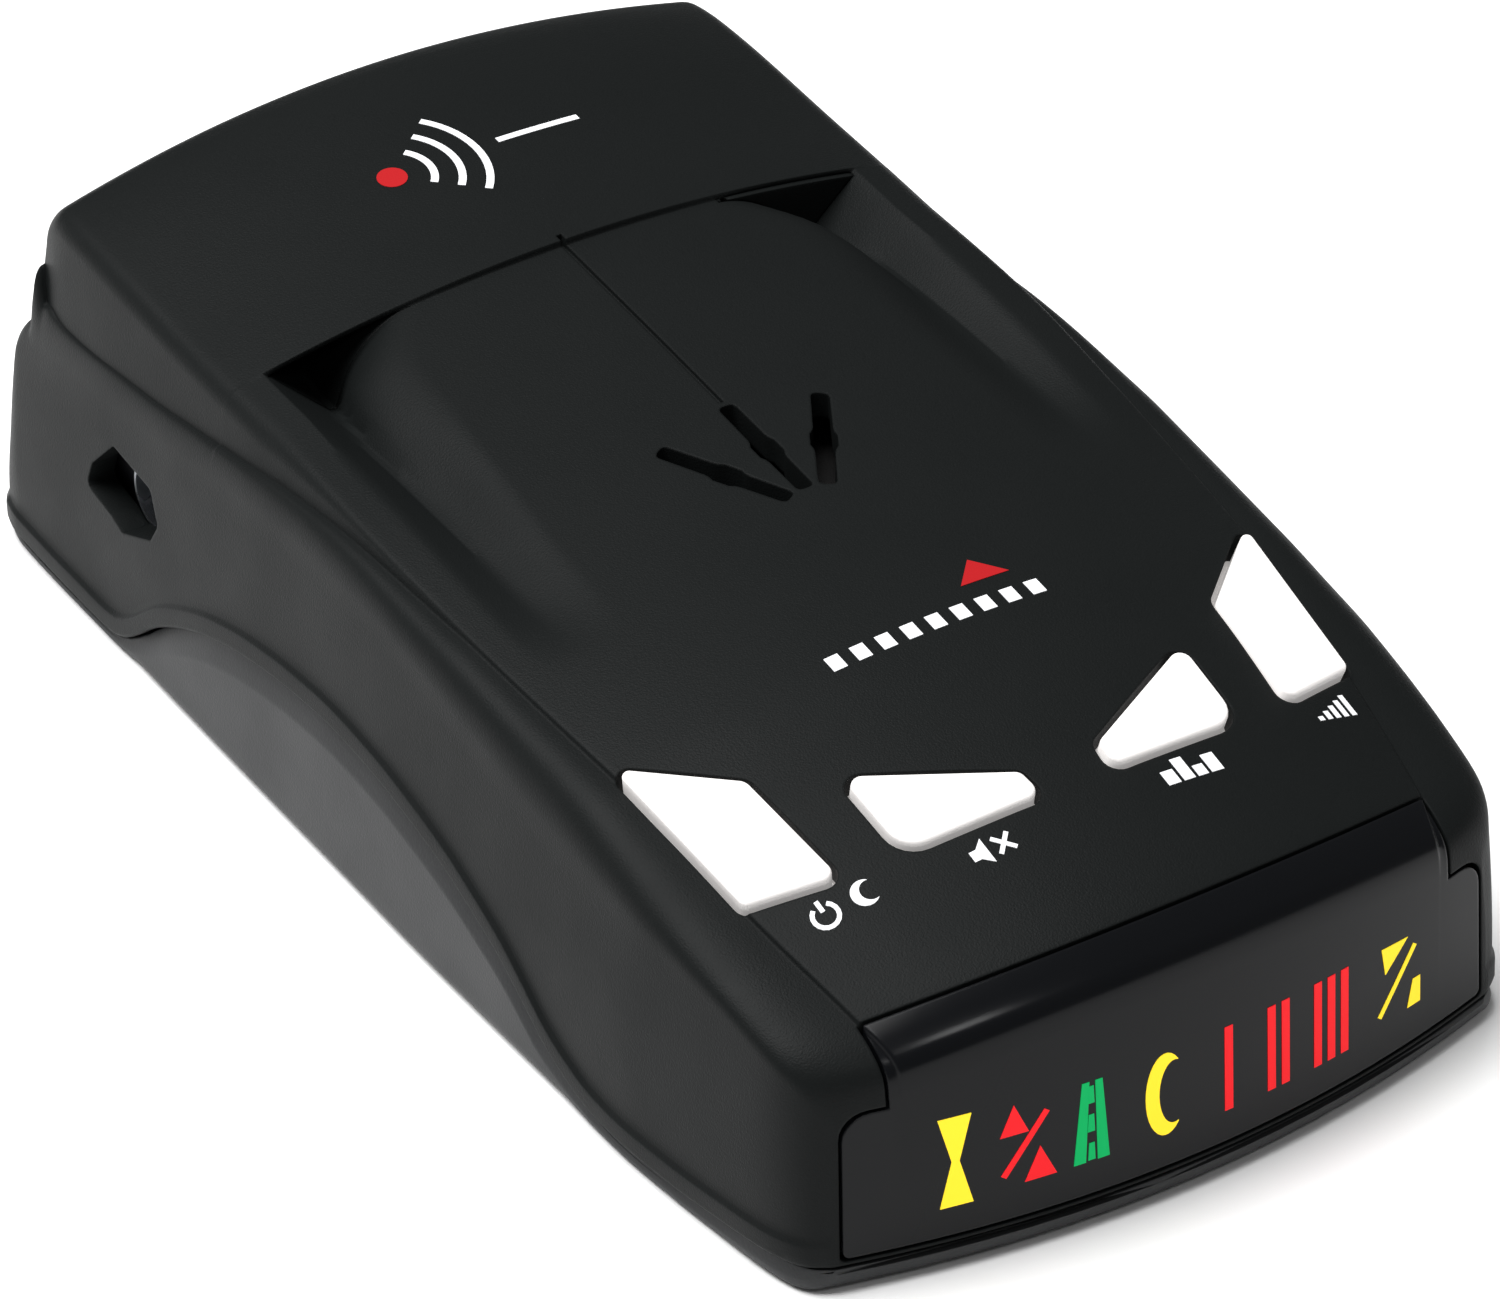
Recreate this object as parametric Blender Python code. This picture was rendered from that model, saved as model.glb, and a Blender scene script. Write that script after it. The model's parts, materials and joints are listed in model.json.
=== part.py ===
"""Dash-top radar detector: painted two-part case, smoked display lens, four
sprung keys, speaker, horn antenna and boards. Sizes are in millimetres and are
turned into metres where meshes are made. X is the width, -Y the display end,
+Y the windscreen end, Z up, with the base at Z = 0."""

import math

import bmesh
import bpy
import numpy as np
from mathutils import Matrix, Vector

MM = 0.001

# ---------------------------------------------------------------- driving sizes
WIDTH = 68.2  # across the sides at their widest
HALF_LENGTH = 64.0  # display face to windscreen edge, halved
HEIGHT = 37.7  # top of the hood
WALL = 2.2  # case wall
GAP = 0.3  # clearance between neighbouring pieces
DRAFT = 0.035  # side wall lean, mm per mm
LIP = 23.5  # where the hood ends and the sunken deck starts
LENS_T = 2.0  # lens thickness
LENS_BACK = -59.2  # back edge of the lens's top strip
LENS_LOW, LENS_STEP, LENS_WIDE, LENS_NARROW = 3.3, 15.6, 28.9, 25.1
BASE_T = 2.4  # floor of the lower case
KEY_PROUD = 0.55  # height of the key caps above the deck
KEYPAD_TILT = math.atan(0.23)  # slope of the key board
JACK_Y, JACK_Z, JACK_R = 36.8, 15.3, 3.2  # middle and radius of the socket's bore
SLOT_HALF, SLOT_LOW, SLOT_HIGH = 13.0, 27.8, 32.2  # bracket slot
SCREWS = [(-27.2, -51.0), (27.2, -51.0), (-26.0, 49.0), (26.0, 49.0)]
POSTS = [(-20.0, -4.0), (20.0, -4.0)]
KEY_POSTS = [(-16.8, -37.0), (16.8, -37.0)]

W = WIDTH / 68.2
L = HALF_LENGTH / 64.0
H = HEIGHT / 37.7
KEYPAD_AT = (-39.5 * L, 17.2 * H)  # middle of the sloping key board: (y, z)

# Each list is a value along the length: (y, value).
HALF_WIDTH = [
    (-64, 29.6), (-63.4, 31.0), (-62, 31.9), (-59.5, 32.5), (-54, 33.1), (-48, 33.6), (-40, 34.0),
    (-13, 34.1), (4, 33.8), (23, 33.4), (41, 32.9), (58, 32.4), (61, 31.6), (62.6, 30.4), (64, 28.0),
]
DECK = [
    (-64, 18.6), (-63.9, 20.0), (-63.5, 21.1), (-62.6, 21.9), (-59, 23.3), (-46.5, 26.9), (-39, 28.7),
    (-35.6, 29.35), (-29, 30.6), (-10, 32.4), (0, 33.4), (10, 34.4), (23.5, 35.6),
]
HOOD = [
    (23.5, 36.4), (50, 37.7), (52.4, 37.4), (53.9, 36.3), (55.0, 33.8), (55.5, 29.5), (55.9, 24.9),
    (57.4, 23.6), (58.7, 21.4), (59.4, 18.6), (62.2, 7.6), (63.4, 4.2), (64, 3.2),
]
DECK_CROWN = [(-64, 0.0037), (-29, 0.0037), (-10, 0.0029), (3, 0.0025), (23.5, 0.0030)]
HOOD_CROWN = [(23.5, 0.0036), (50, 0.0036), (54, 0.0030), (56, 0.0015), (64, 0.0008)]
EDGE = [
    (-64, 24.2), (-59, 25.2), (-45.8, 27.2), (-29, 28.7), (-10, 30.1), (3, 30.8), (12, 31.0),
    (23.5, 31.2), (50, 30.9), (54, 30.4), (57, 29.5), (60, 28.5), (64, 26),
]
CROWN_WALL = [
    (-64, 0.35), (-12, 0.35), (-6.7, 0.6), (3.4, 1.2), (12.6, 2.4), (23.5, 4.4), (36, 7.0), (50, 8.9),
    (53.8, 8.0), (55.2, 2.5), (55.9, 0.35), (64, 0.35),
]
SHOULDER = [
    (-64, 14), (-63.4, 16.0), (-62, 17.6), (-59, 18.6), (-52, 20.4), (-45, 21.2), (-35, 21.7),
    (-27, 22.3), (-16, 24.2), (-9, 25.5), (0, 26.4), (10, 26.2), (21, 25.0), (36, 22.6), (50, 21.3), (55, 20.9), (57.4, 20.0), (58.7, 18.2), (59.4, 15.5), (62.2, 5.2), (63.4, 2.4),
    (64, 1.7),
]
BASE = [(-64, 2.0), (-63.7, 1.1), (-63.1, 0.4), (-62, 0), (62.5, 0), (64, 0.3)]
CHANNEL_DEPTH = [(-64, 0), (-18, 0), (-10, 0.8), (3, 1.8), (12.6, 2.6), (18, 3.4), (21, 4.6), (23.5, 6.4)]
CHANNEL_IN = [(-64, 19.5), (-10, 19.5), (3, 18.5), (12.6, 17.6), (18, 16.8), (23.5, 13.5)]
CHANNEL_LOW = [(-64, 24.4), (-10, 24.4), (12.6, 24.2), (19, 23.4), (23.5, 21.6)]
CHANNEL_OUT = 27.4
SEAM = [
    (-64, 2.6), (-48, 1.6), (-40, 1.5), (-36, 1.7), (-32.3, 2.5), (-28.5, 3.9), (-25, 6.0),
    (-21.3, 8.2), (-17.5, 9.9), (-13.6, 11.4), (-9, 12.6), (-3, 13.6), (4, 14.0), (10, 13.6),
    (16, 12.7), (22.5, 11.0), (27, 9.2), (32, 6.4), (36.5, 3.0), (39.5, 1.5), (42.5, 1.1), (64, 1.1),
]

# Key outlines seen from above, on the +X side: (x, y, corner radius).
OUTER_KEY = [(28.6, -28.4, 0.5), (21.25, -35.0, 1.2), (20.15, -45.7, 0.8), (27.2, -43.8, 0.8)]
INNER_KEY = [(15.3, -38.5, 0.9), (15.0, -46.4, 2.2), (3.2, -47.0, 0.9), (3.5, -44.6, 0.9)]
# Each key's outline, side and how deep its stem reaches.
KEYS = {
    "power_key": (OUTER_KEY, -1, 5.0),
    "quiet_key": (INNER_KEY, -1, 6.9),
    "city_key": (INNER_KEY, 1, 6.9),
    "volume_key": (OUTER_KEY, 1, 5.0),
}

PAINT = ("#2E3133", 0.55, 0.0)
SHELL = ("#3C3E40", 0.5, 0.0)
SMOKE = ("#15171A", 0.12, 0.0)
WHITE = ("#E8E6E2", 0.4, 0.0)
BOARD = ("#1F5B35", 0.5, 0.0)
STEEL = ("#B9BCC0", 0.3, 1.0)
ZINC = ("#9A9DA1", 0.4, 1.0)
BLACK = ("#1A1A1C", 0.5, 0.0)


def linear(code):
    """sRGB hex to the linear numbers a material takes."""
    values = [int(code[i : i + 2], 16) / 255 for i in (1, 3, 5)]
    return [v / 12.92 if v <= 0.04045 else ((v + 0.055) / 1.055) ** 2.4 for v in values]


def curve(y, points):
    """Monotone cubic through (y, value) points, held flat past both ends."""
    table = np.array(points, float)
    xs, vs = table[:, 0] * L, table[:, 1]
    step = np.diff(xs)
    rise = np.diff(vs) / step
    slope = np.zeros_like(vs)
    slope[0], slope[-1] = rise[0], rise[-1]
    for i in range(1, len(vs) - 1):
        if rise[i - 1] * rise[i] > 0:
            a, b = 2 * step[i] + step[i - 1], step[i] + 2 * step[i - 1]
            slope[i] = (a + b) / (a / rise[i - 1] + b / rise[i])
    y = min(max(y, xs[0]), xs[-1])
    i = int(min(max(np.searchsorted(xs, y) - 1, 0), len(step) - 1))
    t = (y - xs[i]) / step[i]
    return float(
        vs[i] * (1 + 2 * t) * (1 - t) ** 2
        + step[i] * slope[i] * t * (1 - t) ** 2
        + vs[i + 1] * t * t * (3 - 2 * t)
        + step[i] * slope[i + 1] * t * t * (t - 1)
    )


def ease(t):
    t = min(max(t, 0.0), 1.0)
    return t * t * (3 - 2 * t)


def bend(x, y):
    """Both ends are arcs seen from above: how far a point moves along Y."""
    return x * x / 208 * ease((-20 * L - y) / (40 * L)) - x * x / 500 * ease((y - 30 * L) / (25 * L))


def place(x, y, z):
    """From straight coordinates to the bent and raked body, in mm."""
    return (x, y + bend(x, y) + 0.075 * z * ease((-58 * L - y) / 6), z)


def top_z(x, y, channel=True):
    """Height of the upper surface."""
    x = abs(x) / W
    if y < LIP * L:
        z = curve(y, DECK) - curve(y, DECK_CROWN) * x * x
        low, start = curve(y, CHANNEL_LOW), curve(y, CHANNEL_IN)
        deep = ease((x - start) / (low - start)) if x < low else 1 - (x - low) / (CHANNEL_OUT - low)
        if channel:
            z -= curve(y, CHANNEL_DEPTH) * max(deep, 0)
    else:
        z = curve(y, HOOD) - curve(y, HOOD_CROWN) * x * x
    return z * H


def settle(x, y):
    """Straight y of a point given where it ends up seen from above."""
    straight = y
    for _ in range(5):
        straight = y - bend(x, straight)
    return straight


# ---------------------------------------------------------------- mesh helpers
def material(name, look):
    code, rough, metal = look
    made = bpy.data.materials.new(name)
    made.use_nodes = True
    shader = made.node_tree.nodes["Principled BSDF"]
    shader.inputs["Base Color"].default_value = (*linear(code), 1)
    shader.inputs["Roughness"].default_value = rough
    shader.inputs["Metallic"].default_value = metal
    return made


def solid(name, points, faces, look=None, smooth=False):
    """A mesh object from points in mm. With no look it is a cutter."""
    mesh = bpy.data.meshes.new(name)
    mesh.from_pydata([Vector(p) * MM for p in points], [], faces)
    made = bmesh.new()
    made.from_mesh(mesh)
    bmesh.ops.recalc_face_normals(made, faces=made.faces)
    made.to_mesh(mesh)
    made.free()
    for polygon in mesh.polygons:
        polygon.use_smooth = smooth
    made = bpy.data.objects.new(name, mesh)
    bpy.context.collection.objects.link(made)
    if look:
        mesh.materials.append(material(name, look))
    else:
        made.hide_render = True
        made.display_type = "WIRE"
    return made


def box(name, x, y, z, look=None):
    points = [(a, b, c) for a in x for b in y for c in z]
    faces = [(0, 1, 3, 2), (4, 6, 7, 5), (0, 4, 5, 1), (2, 3, 7, 6), (0, 2, 6, 4), (1, 5, 7, 3)]
    return solid(name, points, faces, look)


def stack(name, rings, look=None, smooth=False):
    """A closed solid from rings with equal numbers of points, capped flat."""
    count = len(rings[0])
    points = [p for ring in rings for p in ring]
    faces = [tuple(range(count)), tuple(range(len(points) - count, len(points)))]
    for i in range(len(rings) - 1):
        for j in range(count):
            k = (j + 1) % count
            faces.append((i * count + j, i * count + k, (i + 1) * count + k, (i + 1) * count + j))
    return solid(name, points, faces, look, smooth)


def turned(name, centre, axis, profile, look=None, count=20):
    """A solid of revolution: profile is (radius, height) from end to end."""
    axis = Vector(axis).normalized()
    side = axis.orthogonal().normalized()
    other = axis.cross(side)
    rings = []
    for radius, height in profile:
        ring = []
        for a in np.linspace(0, 2 * math.pi, count, endpoint=False):
            ring.append(Vector(centre) + axis * height + (side * math.cos(a) + other * math.sin(a)) * radius)
        rings.append(ring)
    return stack(name, rings, look, smooth=look is not None)


def rod(name, centre, axis, radius, low, high, look=None, count=20):
    return turned(name, centre, axis, [(radius, low), (radius, high)], look, count)


def rounded(corners, steps=3):
    """Outline with its (x, y, radius) corners rounded."""
    out = []
    for i, (x, y, radius) in enumerate(corners):
        here = Vector((x, y))
        back = (Vector(corners[i - 1][:2]) - here).normalized()
        ahead = (Vector(corners[(i + 1) % len(corners)][:2]) - here).normalized()
        if radius <= 0:
            out.append((x, y))
            continue
        half = back.angle(ahead) / 2
        reach = radius / math.tan(half)
        centre = here + (back + ahead).normalized() * (radius / math.sin(half))
        start, end = here + back * reach - centre, here + ahead * reach - centre
        sweep = start.angle_signed(end)
        for step in range(steps + 1):
            angle = -sweep * step / steps
            across = start.x * math.cos(angle) - start.y * math.sin(angle)
            along = start.x * math.sin(angle) + start.y * math.cos(angle)
            out.append((centre.x + across, centre.y + along))
    return out


def grown(outline, by):
    """The outline moved outwards, or inwards when by is negative."""
    out, count = [], len(outline)
    area = 0
    for i, (x, y) in enumerate(outline):
        u, v = outline[(i + 1) % count]
        area += x * v - u * y
    turn = 1 if area > 0 else -1
    for i in range(count):
        here = Vector(outline[i])
        back = (here - Vector(outline[i - 1])).normalized()
        ahead = (Vector(outline[(i + 1) % count]) - here).normalized()
        normal = (Vector((back.y, -back.x)) + Vector((ahead.y, -ahead.x))) * turn
        normal.normalize()
        lean = max(normal.dot(Vector((back.y, -back.x)) * turn), 0.4)
        out.append(tuple(here + normal * by / lean))
    return out


def boolean(target, tool, kind):
    change = target.modifiers.new(tool.name, "BOOLEAN")
    change.operation = kind
    change.solver = "EXACT"
    change.object = tool
    tool.hide_render = True
    tool.display_type = "WIRE"


def cut(target, *tools):
    for tool in tools:
        boolean(target, tool, "DIFFERENCE")


def add(target, *tools):
    for tool in tools:
        boolean(target, tool, "UNION")


# ---------------------------------------------------------------- body skin
ACROSS = [0, 5, 10, 13.8, 16.4, 18.4, 20.2, 22.2, 24.2, 25.8, 27.4, 29.2]


def half_section(y, inset=0.0):
    """Upper and lower chains of one cross-section, centre line to side wall."""
    at = y - inset if y < 0 else y + inset
    edge = curve(at, EDGE) * W - 0.8 * inset
    side = curve(at, HALF_WIDTH) * W - inset
    low = (curve(at, BASE) + inset) * H
    shoulder = (curve(at, SHOULDER) - 0.6 * inset) * H
    drop = curve(at, CROWN_WALL) * H
    drop = min(drop, (top_z(edge, at) - inset - shoulder) * 0.8)
    side_top = side - DRAFT * shoulder
    upper = [(x * edge / (31.0 * W), 0) for x in (a * W for a in ACROSS)]
    upper = [(x, top_z(x, at) - inset) for x, _ in upper]
    fillet = min(1.9, 0.6 * drop)
    ridge = top_z(edge, at) - inset
    for angle in (10, 40, 75):
        a = math.radians(angle)
        fall = fillet * (1 - math.cos(a)) - 0.2 * fillet * (1 - math.sin(a))
        upper.append((edge - fillet + fillet * math.sin(a), ridge - fall))
    foot = (edge + 0.05 * drop + 0.1, ridge - drop)
    upper.append(foot)
    for angle in (22, 44, 66, 90):
        a = math.radians(angle)
        out, rise = (side_top - foot[0]) * math.sin(a) ** 0.7, (foot[1] - shoulder) * max(math.cos(a), 0) ** 0.7
        upper.append((foot[0] + out, shoulder + rise))
    middle = (low + shoulder) / 2
    upper.append((side - DRAFT * middle + 0.3, middle))
    radius = min(1.2, 0.25 * (shoulder - low))
    lower, count = [], len(upper)
    for i in range(count - 5):
        lower.append((upper[i][0], low))
    for angle in (0, 45, 90):
        a = math.radians(angle)
        lower.append((side - radius + radius * math.sin(a), low + radius * (1 - math.cos(a))))
    upright = (low + radius + middle) / 2
    lower.append((side - DRAFT * upright + 0.2, upright))
    lower.append(upper[-1])
    return upper, lower


def skin(name, stations, inset=0.0, look=None):
    """The closed body lofted through straight stations, then bent."""
    points, count = [], 0
    for y in stations:
        upper, lower = half_section(y, inset)
        ring = [(-x, z) for x, z in upper[:0:-1]] + upper + lower[-2::-1] + [(-x, z) for x, z in lower[1:-1]]
        count = len(ring)
        points += [place(x, y, z) for x, z in ring]
    faces, half = [], len(upper)
    for i in range(len(stations) - 1):
        for j in range(count):
            k = (j + 1) % count
            faces.append((i * count + j, i * count + k, (i + 1) * count + k, (i + 1) * count + j))
    last = (len(stations) - 1) * count
    for start in (0, last):
        for j in range(2 * (half - 1)):
            a, b = start + j, start + j + 1
            c, d = start + (count - j - 1) % count, start + (count - j) % count
            faces.append(tuple(dict.fromkeys((a, b, c, d))))
    return solid(name, points, faces, look, smooth=False)


def hollow(name):
    """The room inside the case, one wall in from the skin."""
    rings = []
    for y in (-60.2, -58.5, -54, -47, -38, -29, -19, -10, 0, 8, 12, 18, 26.1, 34, 42, 50, 52.4, 53.2, 56.6):
        y *= L
        side = curve(y, HALF_WIDTH) * W - WALL
        roof = WALL + 1.5 * ease((-54 * L - y) / 5)
        shoulder = (curve(y, SHOULDER) - 1.2) * H
        sunk = curve(min(y, 22 * L), CHANNEL_DEPTH) if y < 26 * L else 0
        high = [top_z(x * W, y, False) - roof - sunk * ease((x - 9) / 8) for x in (0, 9, 17, 24)]
        if y > 53 * L:
            high = [16.5 * H] * 4
            shoulder = 15 * H
        edge = max(min(curve(y, EDGE) * W - WALL - 0.6, side - 1.2), 24.5 * W)
        top = min(high[-1] - 0.6, top_z(edge, y) - roof - 0.8)
        right = [(x * W * (1 if edge > 24.4 * W else 0.95), z) for x, z in zip((0, 9, 17, 24), high)]
        right += [(edge, top), (side - DRAFT * shoulder, min(shoulder, top - 0.8))]
        right += [(side - 0.1, BASE_T + 1.0), (side - 1.1, BASE_T - 0.4)]
        ring = right + [(-x, z) for x, z in right[:0:-1]]
        rings.append([place(x, y, z) for x, z in ring])
    return stack(name, rings)


def below_seam(name, lift):
    """Everything under the parting line, as a prism across the width."""
    turns = [-64, -55, -48, -42, -38, -34, -30.5, -27.5, -24.5, -21.3, -17.5, -13.6, -9, -3, 4, 10, 16]
    turns += [20, 24, 28, 31, 34, 36.5, 39.5, 44, 52]
    ys = [-70.0] + [y * L for y in turns] + [70.0]
    line = [(y, curve(y, SEAM) * H + lift) for y in ys]
    outline = line + [(70.0, -5), (-70.0, -5)]
    return stack(name, [[(x, y, z) for y, z in outline] for x in (-45, 45)])


def floor_plate(name, grow, low, high):
    """Flat floor inside the walls, the part of the lower case the seam hides."""
    side = []
    for y in (-60.4, -56, -48, -36, -18, 0, 18, 36, 50, 58, 60.6):
        y *= L
        past = grow if y > 50 * L else -grow if y < -58 * L else 0
        side.append((curve(y, HALF_WIDTH) * W - 1.5 - GAP + grow, y + past))
    outline = side + [(-x, y) for x, y in reversed(side)]
    return stack(name, [[place(x, y, 0)[:2] + (z,) for x, y in outline] for z in (low, high)])


def lens_block(name, grow, back):
    """The lens's stepped outline, run back to the back edge of its top strip."""
    step = LENS_STEP * H + grow
    narrow, wide = LENS_NARROW * W + grow, LENS_WIDE * W + grow
    right = [(wide, LENS_LOW - grow, 0.4), (wide - 0.25, step, 2.0), (narrow, step, 0.3), (narrow, 34, 0)]
    outline = rounded([(-x, z, radius) for x, z, radius in reversed(right)] + right)
    # Extra points along the long edges let them follow the bend.
    full = []
    for i, (x, z) in enumerate(outline):
        u, v = outline[(i + 1) % len(outline)]
        parts = 10 if abs(u - x) > 20 else 1
        full += [(x + (u - x) * t / parts, z + (v - z) * t / parts) for t in range(parts)]
    count = len(full)
    front = [(x, -72.0, z) for x, z in full]
    rear = [(x, back * L + bend(x, back * L), z) for x, z in full]
    points = front + rear
    faces = [tuple(range(count)), tuple(range(count, 2 * count))]
    faces += [(j, (j + 1) % count, count + (j + 1) % count, count + j) for j in range(count)]
    return solid(name, points, faces)


# ---------------------------------------------------------------- keys
def key_plane(corners):
    """Best plane through the deck under a key: (point, normal)."""
    spots = []
    for x, y, _ in corners:
        straight = settle(x * W, y * L)
        spots.append(Vector((x * W, y * L, top_z(x * W, straight))))
    centre = sum(spots, Vector()) / len(spots)
    middle = top_z(centre.x, settle(centre.x, centre.y))
    normal = Vector()
    for i in range(len(spots)):
        normal += (spots[i] - centre).cross(spots[(i + 1) % len(spots)] - centre)
    normal.normalize()
    if normal.z < 0:
        normal = -normal
    centre.z = (centre.z + middle) / 2
    return centre, normal


def key_prism(name, corners, side, layers, look=None):
    """A prism across the deck under a key: layers are (grow, height)."""
    centre, normal = key_plane(corners)
    outline = rounded([(x * W, y * L, r) for x, y, r in corners])
    rings = []
    for grow, height in layers:
        ring = []
        for x, y in grown(outline, grow):
            z = centre.z - ((x - centre.x) * normal.x + (y - centre.y) * normal.y) / normal.z
            spot = Vector((x, y, z)) + normal * height
            ring.append((spot.x * side, spot.y, spot.z))
        rings.append(ring)
    return stack(name, rings, look, smooth=False)


def make_key(name, corners, side, reach):
    layers = [(1.0, -3.9), (1.0, -2.9), (0, -2.9), (0, KEY_PROUD - 0.45), (-0.45, KEY_PROUD)]
    cap = key_prism(name, corners, side, layers, WHITE)
    centre, normal = key_plane(corners)
    centre.x, normal.x = centre.x * side, normal.x * side
    stem = rod(name + "_stem", centre, normal, 1.5, -reach, -3.0)
    add(cap, stem)
    # The key's origin is on its own line of travel.
    spot = centre * MM
    cap.data.transform(Matrix.Translation(-spot))
    cap.location = spot
    return cap


def tapered(name, middle, stages, look=None):
    """Square tube along Y: stages are (y, half width, half height)."""
    rings = []
    for y, wide, high in stages:
        corners = [(-wide, -high), (wide, -high), (wide, high), (-wide, high)]
        rings.append([(x * W, y * L, middle + z) for x, z in corners])
    return stack(name, rings, look)


def tilted(y, z):
    """Matrix of the keypad's sloping board: its middle is at (0, y, z)."""
    return Matrix.Translation(Vector((0, y, z)) * MM) @ Matrix.Rotation(KEYPAD_TILT, 4, "X")


def main():
    for old in list(bpy.data.objects):
        bpy.data.objects.remove(old)

    front = [-64, -63.9, -63.5, -62.6, -61, -59, -55, -50]
    middle = [-45, -40, -34, -28, -22, -16, -10, -4, 2, 8, 13, 17, 20, 22.2]
    far = [28, 36, 44, 50, 52.4, 53.9, 55, 55.5, 55.9, 57.4, 58.7, 59.4, 61, 62.2, 63.4, 64]
    stations = [y * L for y in front + middle] + [LIP * L - 0.06, LIP * L + 0.06] + [y * L for y in far]

    # Case
    upper = skin("upper_housing", stations, look=PAINT)
    lower = skin("lower_housing", stations, look=SHELL)
    room = hollow("cut_room")
    cut(upper, below_seam("cut_below", 0.15), floor_plate("cut_floor", GAP, -3, BASE_T + GAP), room)
    cut(upper, lens_block("cut_lens_seat", GAP, LENS_BACK + GAP))
    above = below_seam("keep_below", -0.15)
    boolean(lower, above, "INTERSECT")
    cut(lower, hollow("cut_room_low"))
    add(lower, floor_plate("floor", 0, 0.5, BASE_T))

    # Bosses for the case screws, and posts for the keypad
    for i, (x, y) in enumerate(SCREWS):
        x, y = x * W, y * L
        roof = top_z(x, settle(x, y)) if abs(x) < curve(y, EDGE) * W else curve(y, SHOULDER) * H
        add(upper, rod(f"boss_{i}", (x, y, 0), (0, 0, 1), 2.7, BASE_T + 2 * GAP, roof - 0.9, count=16))
        cut(upper, rod(f"pilot_{i}", (x, y, 0), (0, 0, 1), 1.3, 0, 13, count=12))
        sunk = [(2.7, -1), (2.7, 1.3), (1.5, 1.3), (1.5, 5)]
        cut(lower, turned(f"hole_{i}", (x, y, 0), (0, 0, 1), sunk, count=16))
        shape = [(2.3, 0.2), (2.4, 0.5), (2.4, 1.0), (1.0, 1.0), (1.0, 11.5)]
        turned(f"case_screw_{i + 1}", (x, y, 0), (0, 0, 1), shape, STEEL, 16)
    for i, (x, y) in enumerate(KEY_POSTS):
        x, y = x * W, y * L
        tilt = KEYPAD_AT[1] + (y - KEYPAD_AT[0]) * math.tan(KEYPAD_TILT)
        roof = top_z(x, settle(x, y))
        add(upper, rod(f"key_post_{i}", (x, y, 0), (0, 0, 1), 2.2, tilt + 1.4, roof - 0.9, count=14))
        cut(upper, rod(f"key_pilot_{i}", (x, y, 0), (0, 0, 1), 1.1, 0, tilt + 5, count=10))

    # Keys and their holes
    for name, (corners, side, reach) in KEYS.items():
        make_key(name, corners, side, reach)
        cut(upper, key_prism("hole_" + name, corners, side, [(0.35, -9), (0.35, 4)]))
        cut(upper, key_prism("room_" + name, corners, side, [(1.5, -9), (1.5, -2.3)]))

    # Speaker slots and the groove that leads to the middle one
    for side in (-1, 0, 1):
        line = [(0, 0.3), (0, -11.0)] if side == 0 else [(7.4 * side, -1.7), (1.7 * side, -11.4)]
        start, end = Vector(line[0]), Vector(line[1])
        along = (end - start).normalized()
        across = Vector((-along.y, along.x))
        long = (end - start).length
        shape = [(0, 0.45), (0.25, 0.75), (long * 0.38, 0.8), (long * 0.45, 1.1)]
        shape += [(long * 0.58, 1.1), (long * 0.66, 0.8), (long - 0.25, 0.75), (long, 0.45)]
        shape += [(a, -b) for a, b in reversed(shape)]
        outline = [start + along * a + across * b for a, b in shape]
        rings = [[(p.x * W, p.y * L, z) for p in outline] for z in (26, 40)]
        cut(upper, stack(f"slot_{side + 1}", rings))

    # Power socket opening in the left wall
    hexagon = [(32.4, 14.4), (33.2, 17.6), (34.6, 18.8), (40.6, 18.9)]
    hexagon += [(43.8, 16.4), (44.2, 13.2), (40.8, 12.0), (35.2, 11.9)]
    wall_in = (curve(JACK_Y * L + 8.6, HALF_WIDTH) - DRAFT * 20) * W - WALL - GAP
    rings = [[(x, y * L, z * H) for y, z in hexagon] for x in (-45, -wall_in - 0.1)]
    cut(upper, stack("cut_jack", rings))
    mouth = Vector((-wall_in, JACK_Y * L, JACK_Z * H))
    sides = (mouth.y - 5.2, mouth.y + 8.6), (mouth.z - 4.9, mouth.z + 4.9)
    jack = box("power_jack", (mouth.x, mouth.x + 11), *sides, BLACK)
    cut(jack, rod("cut_bore", mouth, (1, 0, 0), JACK_R, -2, 9.4, count=20))
    rod("jack_centre_pin", mouth, (1, 0, 0), 0.7, 5.0, 9.1, STEEL, 12)

    # Windscreen bracket slot in the hood's end wall, its tray, and the release key
    slot, tray = SLOT_HALF * W, (SLOT_HALF + 2) * W
    heights = (SLOT_LOW - 1.6) * H, (SLOT_HIGH + 3.6) * H
    add(upper, box("tray", (-tray, tray), (38 * L, 54 * L), heights))
    cut(upper, box("cut_slot", (-slot, slot), (40 * L, 60 * L), (SLOT_LOW * H, SLOT_HIGH * H)))
    heights = (SLOT_LOW - 6.4) * H, (SLOT_LOW - 1.4) * H
    add(upper, box("spring_stop", (-4, 4), (40.0 * L, 41.2 * L), heights))
    low, high = (SLOT_LOW - 6.2) * H, (SLOT_LOW - 2.4) * H
    cut(upper, box("cut_release", (-5.3, 5.3), (48 * L, 60 * L), (low - GAP, high + GAP)))
    release = box("release_key", (-5, 5), (47.6 * L, 56.9 * L), (low, high), PAINT)
    add(release, box("release_flange", (-7, 7), (50.9 * L, 52.4 * L), (low - 1.6, high + 0.4)))
    rings = []
    for turn in range(0, 41):
        a = turn / 40 * 2 * math.pi * 4
        centre = Vector((1.35 * math.cos(a), 0.14 * turn + 41.6 * L, 1.35 * math.sin(a) + (low + high) / 2))
        out = Vector((math.cos(a), 0, math.sin(a)))
        ring = []
        for b in np.linspace(0, 2 * math.pi, 6, endpoint=False):
            ring.append(centre + (out * math.cos(b) + Vector((0, 1, 0)) * math.sin(b)) * 0.25)
        rings.append(ring)
    stack("release_spring", rings, STEEL, smooth=True)

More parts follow.
